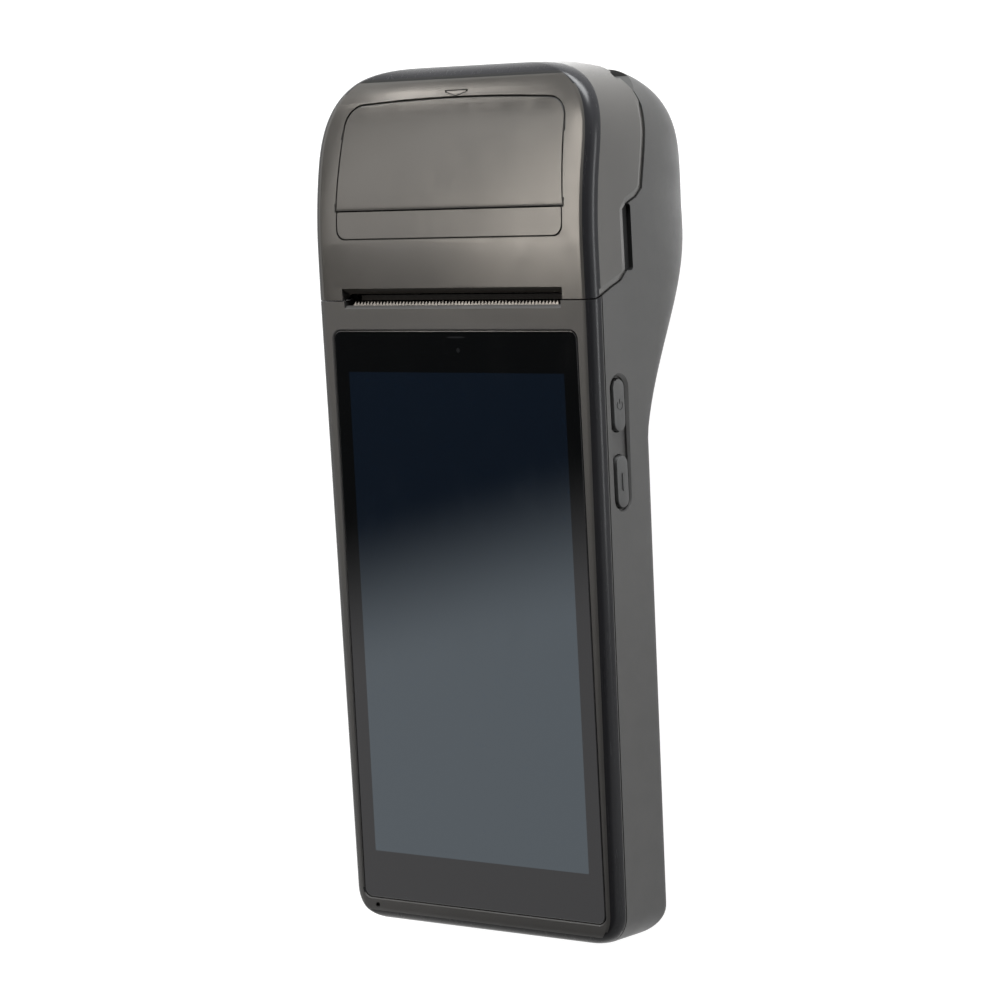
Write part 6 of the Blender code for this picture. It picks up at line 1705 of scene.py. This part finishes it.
def floor_mesh():
    """A round floor whose rim bends up into a wall."""
    profile = [(FLOOR_REACH, FLOOR_WALL)]
    for degrees in range(0, 91, FLOOR_BEND_STEP):
        angle = math.radians(degrees)
        drawn = FLOOR_BEND - FLOOR_BEND * math.cos(angle)
        profile.append((FLOOR_REACH - drawn, FLOOR_BEND - FLOOR_BEND * math.sin(angle)))
    shape = bmesh.new()
    rings = []
    for x, z in profile:
        ring = []
        for step in range(FLOOR_SIDES):
            angle = 2 * math.pi * step / FLOOR_SIDES
            ring.append(shape.verts.new((x * math.cos(angle), x * math.sin(angle), z)))
        rings.append(ring)
    for near, far in zip(rings, rings[1:]):
        for index in range(FLOOR_SIDES):
            shape.faces.new((near[index - 1], near[index], far[index], far[index - 1]))
    shape.faces.new(rings[-1])
    mesh = bpy.data.meshes.new("studio_floor")
    shape.to_mesh(mesh)
    shape.free()
    mesh.shade_smooth()
    return mesh


class TERMINAL_OT_studio(bpy.types.Operator):
    """Add the white floor, the walls, the lamps and the plain surrounding light"""

    bl_idname = "terminal.studio"
    bl_label = "Studio"

    def execute(self, context):
        settings = context.scene.terminal_studio
        scene = context.scene
        scene.view_settings.view_transform = "Standard"
        world = bpy.data.worlds.new("studio")
        world.use_nodes = True
        background = world.node_tree.nodes["Background"]
        background.inputs["Color"].default_value = WHITE
        background.inputs["Strength"].default_value = settings.world_level
        scene.world = world
        mesh = floor_mesh()
        mesh.materials.append(floor_material(settings.floor_level))
        floor = bpy.data.objects.new("studio_floor", mesh)
        scene.collection.objects.link(floor)
        for values in LAMPS:
            lamp(**{**values, "power": values["power"] * settings.lamp_level})
        return {"FINISHED"}


class TERMINAL_OT_rear_shell(bpy.types.Operator):
    """Build the rear shell with its recesses, grille, port opening and hinge eyes"""

    bl_idname = "terminal.rear_shell"
    bl_label = "Rear shell"

    def execute(self, context):
        mesh = merged(rear_shell_mesh())
        # Finger grooves get the dark finish that paints the shade in them
        finish_faces(mesh, [finish("case_satin"), finish("groove_matt")], is_groove)
        place_piece("rear_shell_fine", mesh, "terminal_body", ("rear_shell",))
        return {"FINISHED"}


class TERMINAL_OT_front_frame(bpy.types.Operator):
    """Build the front frame with its polished edge, painted darker as dark reflection, its glass pocket and
    microphone hole
    """

    bl_idname = "terminal.front_frame"
    bl_label = "Front frame"

    def execute(self, context):
        mesh = merged(front_frame_mesh())
        # The front edge gets the darker gloss that paints its dark reflection
        finish_faces(mesh, [finish("case_satin"), finish("edge_gloss")], is_front_edge)
        place_piece("front_frame_fine", mesh, "terminal_body", ("front_frame",))
        return {"FINISHED"}


class TERMINAL_OT_cover_glass(bpy.types.Operator):
    """Build the cover glass, with the display's area, the sensor window and the earpiece slit under it"""

    bl_idname = "terminal.cover_glass"
    bl_label = "Cover glass"

    def execute(self, context):
        edge = context.scene.terminal_sizes.glass_edge
        front = -GLASS_RECESS
        shape = bmesh.new()
        rings = []
        for margin, z in ((0.0, front - GLASS_THICKNESS), *eased(front, edge)):
            rings.append([shape.verts.new((x, y, z)) for x, y in glass_outline(margin)])
        for near, far in zip(rings, rings[1:]):
            for index in range(len(near)):
                shape.faces.new((near[index - 1], near[index], far[index], far[index - 1]))
        shape.faces.new(rings[0])
        side, high = DISPLAY_HALF_WIDTH, DISPLAY_HALF_HEIGHT
        outline = rounded_rectangle(-side, side, -high, high, DISPLAY_CORNER)
        window = [shape.verts.new((x, y, front)) for x, y in outline]
        for index in range(len(window)):
            near = rings[-1]
            shape.faces.new((near[index - 1], near[index], window[index], window[index - 1]))
        shape.faces.new(window)
        mesh = finished(shape)

        def layer(centre, normal):
            if normal[2] < GLASS_FACING:
                return 2
            return abs(centre[0]) < side / 2 and abs(centre[1]) < high / 2

        finish_faces(mesh, [finish("glass_border"), finish("glass_display"), finish("glass_edge")], layer)
        place_piece(
            "cover_glass_fine", mesh, "terminal_body", ("touch_glass",), GLASS_SMOOTH_ANGLE
        )
        return {"FINISHED"}


class TERMINAL_OT_printer_lid(bpy.types.Operator):
    """Build the printer lid with its slot, lever pocket, panel line, chevron and bevelled seam"""

    bl_idname = "terminal.printer_lid"
    bl_label = "Printer lid"

    def execute(self, context):
        mesh = merged(printer_lid_mesh())
        # The front edge gets the darker gloss that paints its dark reflection, and the fine lines get the
        # dark finish that paints their shade
        finish_faces(mesh, [finish("lid_satin"), finish("edge_gloss"), finish("groove_matt")], lid_finish)
        place_piece("printer_lid_fine", mesh, "printer_lid", ("printer_lid",))
        return {"FINISHED"}


class TERMINAL_OT_release_lever(bpy.types.Operator):
    """Build the release lever with its eased arch and latch arms"""

    bl_idname = "terminal.release_lever"
    bl_label = "Release lever"

    def execute(self, context):
        mesh = merged(release_lever_mesh())
        # The eased edge towards the pocket gets the dark finish that paints the shade along the lever's
        # outline
        finish_faces(mesh, [finish("lid_satin"), finish("groove_matt")], lever_finish)
        place_piece("release_lever_fine", mesh, "release_lever", ("release_lever",))
        return {"FINISHED"}


class TERMINAL_OT_side_keys(bpy.types.Operator):
    """Build the two side keys with their marks"""

    bl_idname = "terminal.side_keys"
    bl_label = "Side keys"

    def execute(self, context):
        lower, upper = key_middles()
        for name, middle, mark in (("function_key", lower, "bar"), ("power_key", upper, "power")):
            mesh = merged(side_key_mesh(middle, mark))
            finish_faces(mesh, [finish("key_satin")])
            place_piece(f"{name}_fine", mesh, name, (name,))
        return {"FINISHED"}


class TERMINAL_OT_tear_bar(bpy.types.Operator):
    """Build the tear bar with its saw teeth"""

    bl_idname = "terminal.tear_bar"
    bl_label = "Tear bar"

    def execute(self, context):
        mesh = tear_bar_mesh(context.scene.terminal_sizes)
        place_piece("tear_bar_fine", mesh, "terminal_body", ("tear_bar",))
        return {"FINISHED"}


class TERMINAL_OT_screws(bpy.types.Operator):
    """Build the case screws and the battery cover's screws with their cross recesses"""

    bl_idname = "terminal.screws"
    bl_label = "Screws"

    def execute(self, context):
        low = -SIDE_DEPTH - GRIP_BACK_DROP + SCREW_SINK
        mesh = screws_mesh(case_screw_places(), low, -CASE_SCREW_TIP_DEPTH, SCREW_HEAD_HEIGHT)
        nodes = [f"case_screw_{number}" for number in range(1, 5)]
        place_piece("case_screws_fine", mesh, "terminal_body", nodes)
        low = COVER_BACK + SCREW_SINK / 2
        tip = INNER_BACK + COVER_BOSS_HEIGHT / 2
        mesh = screws_mesh(cover_screw_places(), low, tip, COVER_SCREW_HEAD)
        nodes = [f"cover_screw_{number}" for number in range(1, 5)]
        place_piece("cover_screws_fine", mesh, "terminal_body", nodes)
        return {"FINISHED"}


class TERMINAL_OT_battery_cover(bpy.types.Operator):
    """Build the battery cover with its eased edge and countersinks"""

    bl_idname = "terminal.battery_cover"
    bl_label = "Battery cover"

    def execute(self, context):
        edge = context.scene.terminal_sizes.cover_edge
        back = COVER_BACK
        middle = edge * EASE_MIDDLE
        profile = (
            (-edge, back), (-middle, back + middle), (0.0, back + edge), (0.0, back + COVER_THICKNESS)
        )
        plate = stepped(profile, cover_outline, "Z")
        counterbore = back + SCREW_SINK / 2 + COVER_SCREW_HEAD + COVER_SCREW_PLAY
        mesh = merged(cut(plate, screw_holes(cover_screw_places(), back, counterbore, back + OVERRUN)))
        finish_faces(mesh, [finish("case_satin")])
        place_piece("battery_cover_fine", mesh, "terminal_body", ("battery_cover",))
        return {"FINISHED"}


class TERMINAL_OT_inner_parts(bpy.types.Operator):
    """Give the parts inside the housing their finishes"""

    bl_idname = "terminal.inner_parts"
    bl_label = "Inner parts"

    def execute(self, context):
        painted = set()
        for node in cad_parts:
            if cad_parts[node].hide_render:
                continue
            for start, name in INNER_FINISHES:
                if node.startswith(start):
                    repaint(node, finish(name))
                    painted.add(node)
                    break
        shown = [node for node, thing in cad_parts.items() if not thing.hide_render]
        left = set(shown) - painted
        if left:
            raise RuntimeError(f"no finish for {sorted(left)}")
        return {"FINISHED"}


INNER_FINISHES = (
    ("lcd_panel", "display_back"),
    ("light_sensor", "display_back"),
    ("chassis", "cast_aluminium"),
    ("main_board", "solder_mask"),
    ("key_board", "solder_mask"),
    ("shield_can", "spring_steel"),
    ("battery_pack", "battery_film"),
    ("speaker", "inner_matt"),
    ("charging_port", "spring_steel"),
    ("function_switch", "spring_steel"),
    ("power_switch", "spring_steel"),
    ("printer_frame", "inner_matt"),
    ("print_head", "head_ceramic"),
    ("heat_sink", "head_ceramic"),
    ("head_spring", "spring_steel"),
    ("feed_motor", "spring_steel"),
    ("paper_bay", "inner_matt"),
    ("paper_sensor", "display_back"),
    ("lid_hinge_pin", "spring_steel"),
    ("lid_inner_frame", "inner_matt"),
    ("lid_screw", "spring_steel"),
    ("platen_bush", "gear_acetal"),
    ("lever_pin", "spring_steel"),
    ("lever_spring", "spring_steel"),
    ("platen_roller", "platen_rubber"),
    ("platen_shaft", "spring_steel"),
    ("platen_gear", "gear_acetal"),
    ("idler_gear", "gear_acetal"),
    ("motor_pinion", "gear_acetal"),
)


class TERMINAL_PT_panel(bpy.types.Panel):
    bl_idname = "TERMINAL_PT_panel"
    bl_label = "Payment terminal"
    bl_space_type = "VIEW_3D"
    bl_region_type = "UI"
    bl_category = "Terminal"

    def draw(self, context):
        layout = self.layout
        scene = context.scene
        for group in (scene.terminal_sizes, scene.terminal_finishes, scene.terminal_studio):
            box = layout.box()
            for name in group.__annotations__:
                box.prop(group, name)
        for operator in OPERATORS:
            layout.operator(operator.bl_idname)


SETTINGS = (
    ("terminal_sizes", TerminalSizes),
    ("terminal_finishes", TerminalFinishes),
    ("terminal_studio", TerminalStudio),
)
OPERATORS = (
    TERMINAL_OT_camera,
    TERMINAL_OT_studio,
    TERMINAL_OT_rear_shell,
    TERMINAL_OT_front_frame,
    TERMINAL_OT_cover_glass,
    TERMINAL_OT_printer_lid,
    TERMINAL_OT_release_lever,
    TERMINAL_OT_side_keys,
    TERMINAL_OT_tear_bar,
    TERMINAL_OT_screws,
    TERMINAL_OT_battery_cover,
    TERMINAL_OT_inner_parts,
)


def register():
    for name, group in SETTINGS:
        bpy.utils.register_class(group)
        setattr(bpy.types.Scene, name, PointerProperty(type=group))
    for operator in OPERATORS:
        bpy.utils.register_class(operator)
    bpy.utils.register_class(TERMINAL_PT_panel)


def unregister():
    bpy.utils.unregister_class(TERMINAL_PT_panel)
    for operator in reversed(OPERATORS):
        bpy.utils.unregister_class(operator)
    for name, group in reversed(SETTINGS):
        delattr(bpy.types.Scene, name)
        bpy.utils.unregister_class(group)


def main():
    register()
    for operator in OPERATORS:
        area, name = operator.bl_idname.split(".")
        getattr(getattr(bpy.ops, area), name)()


if __name__ == "__main__":
    main()
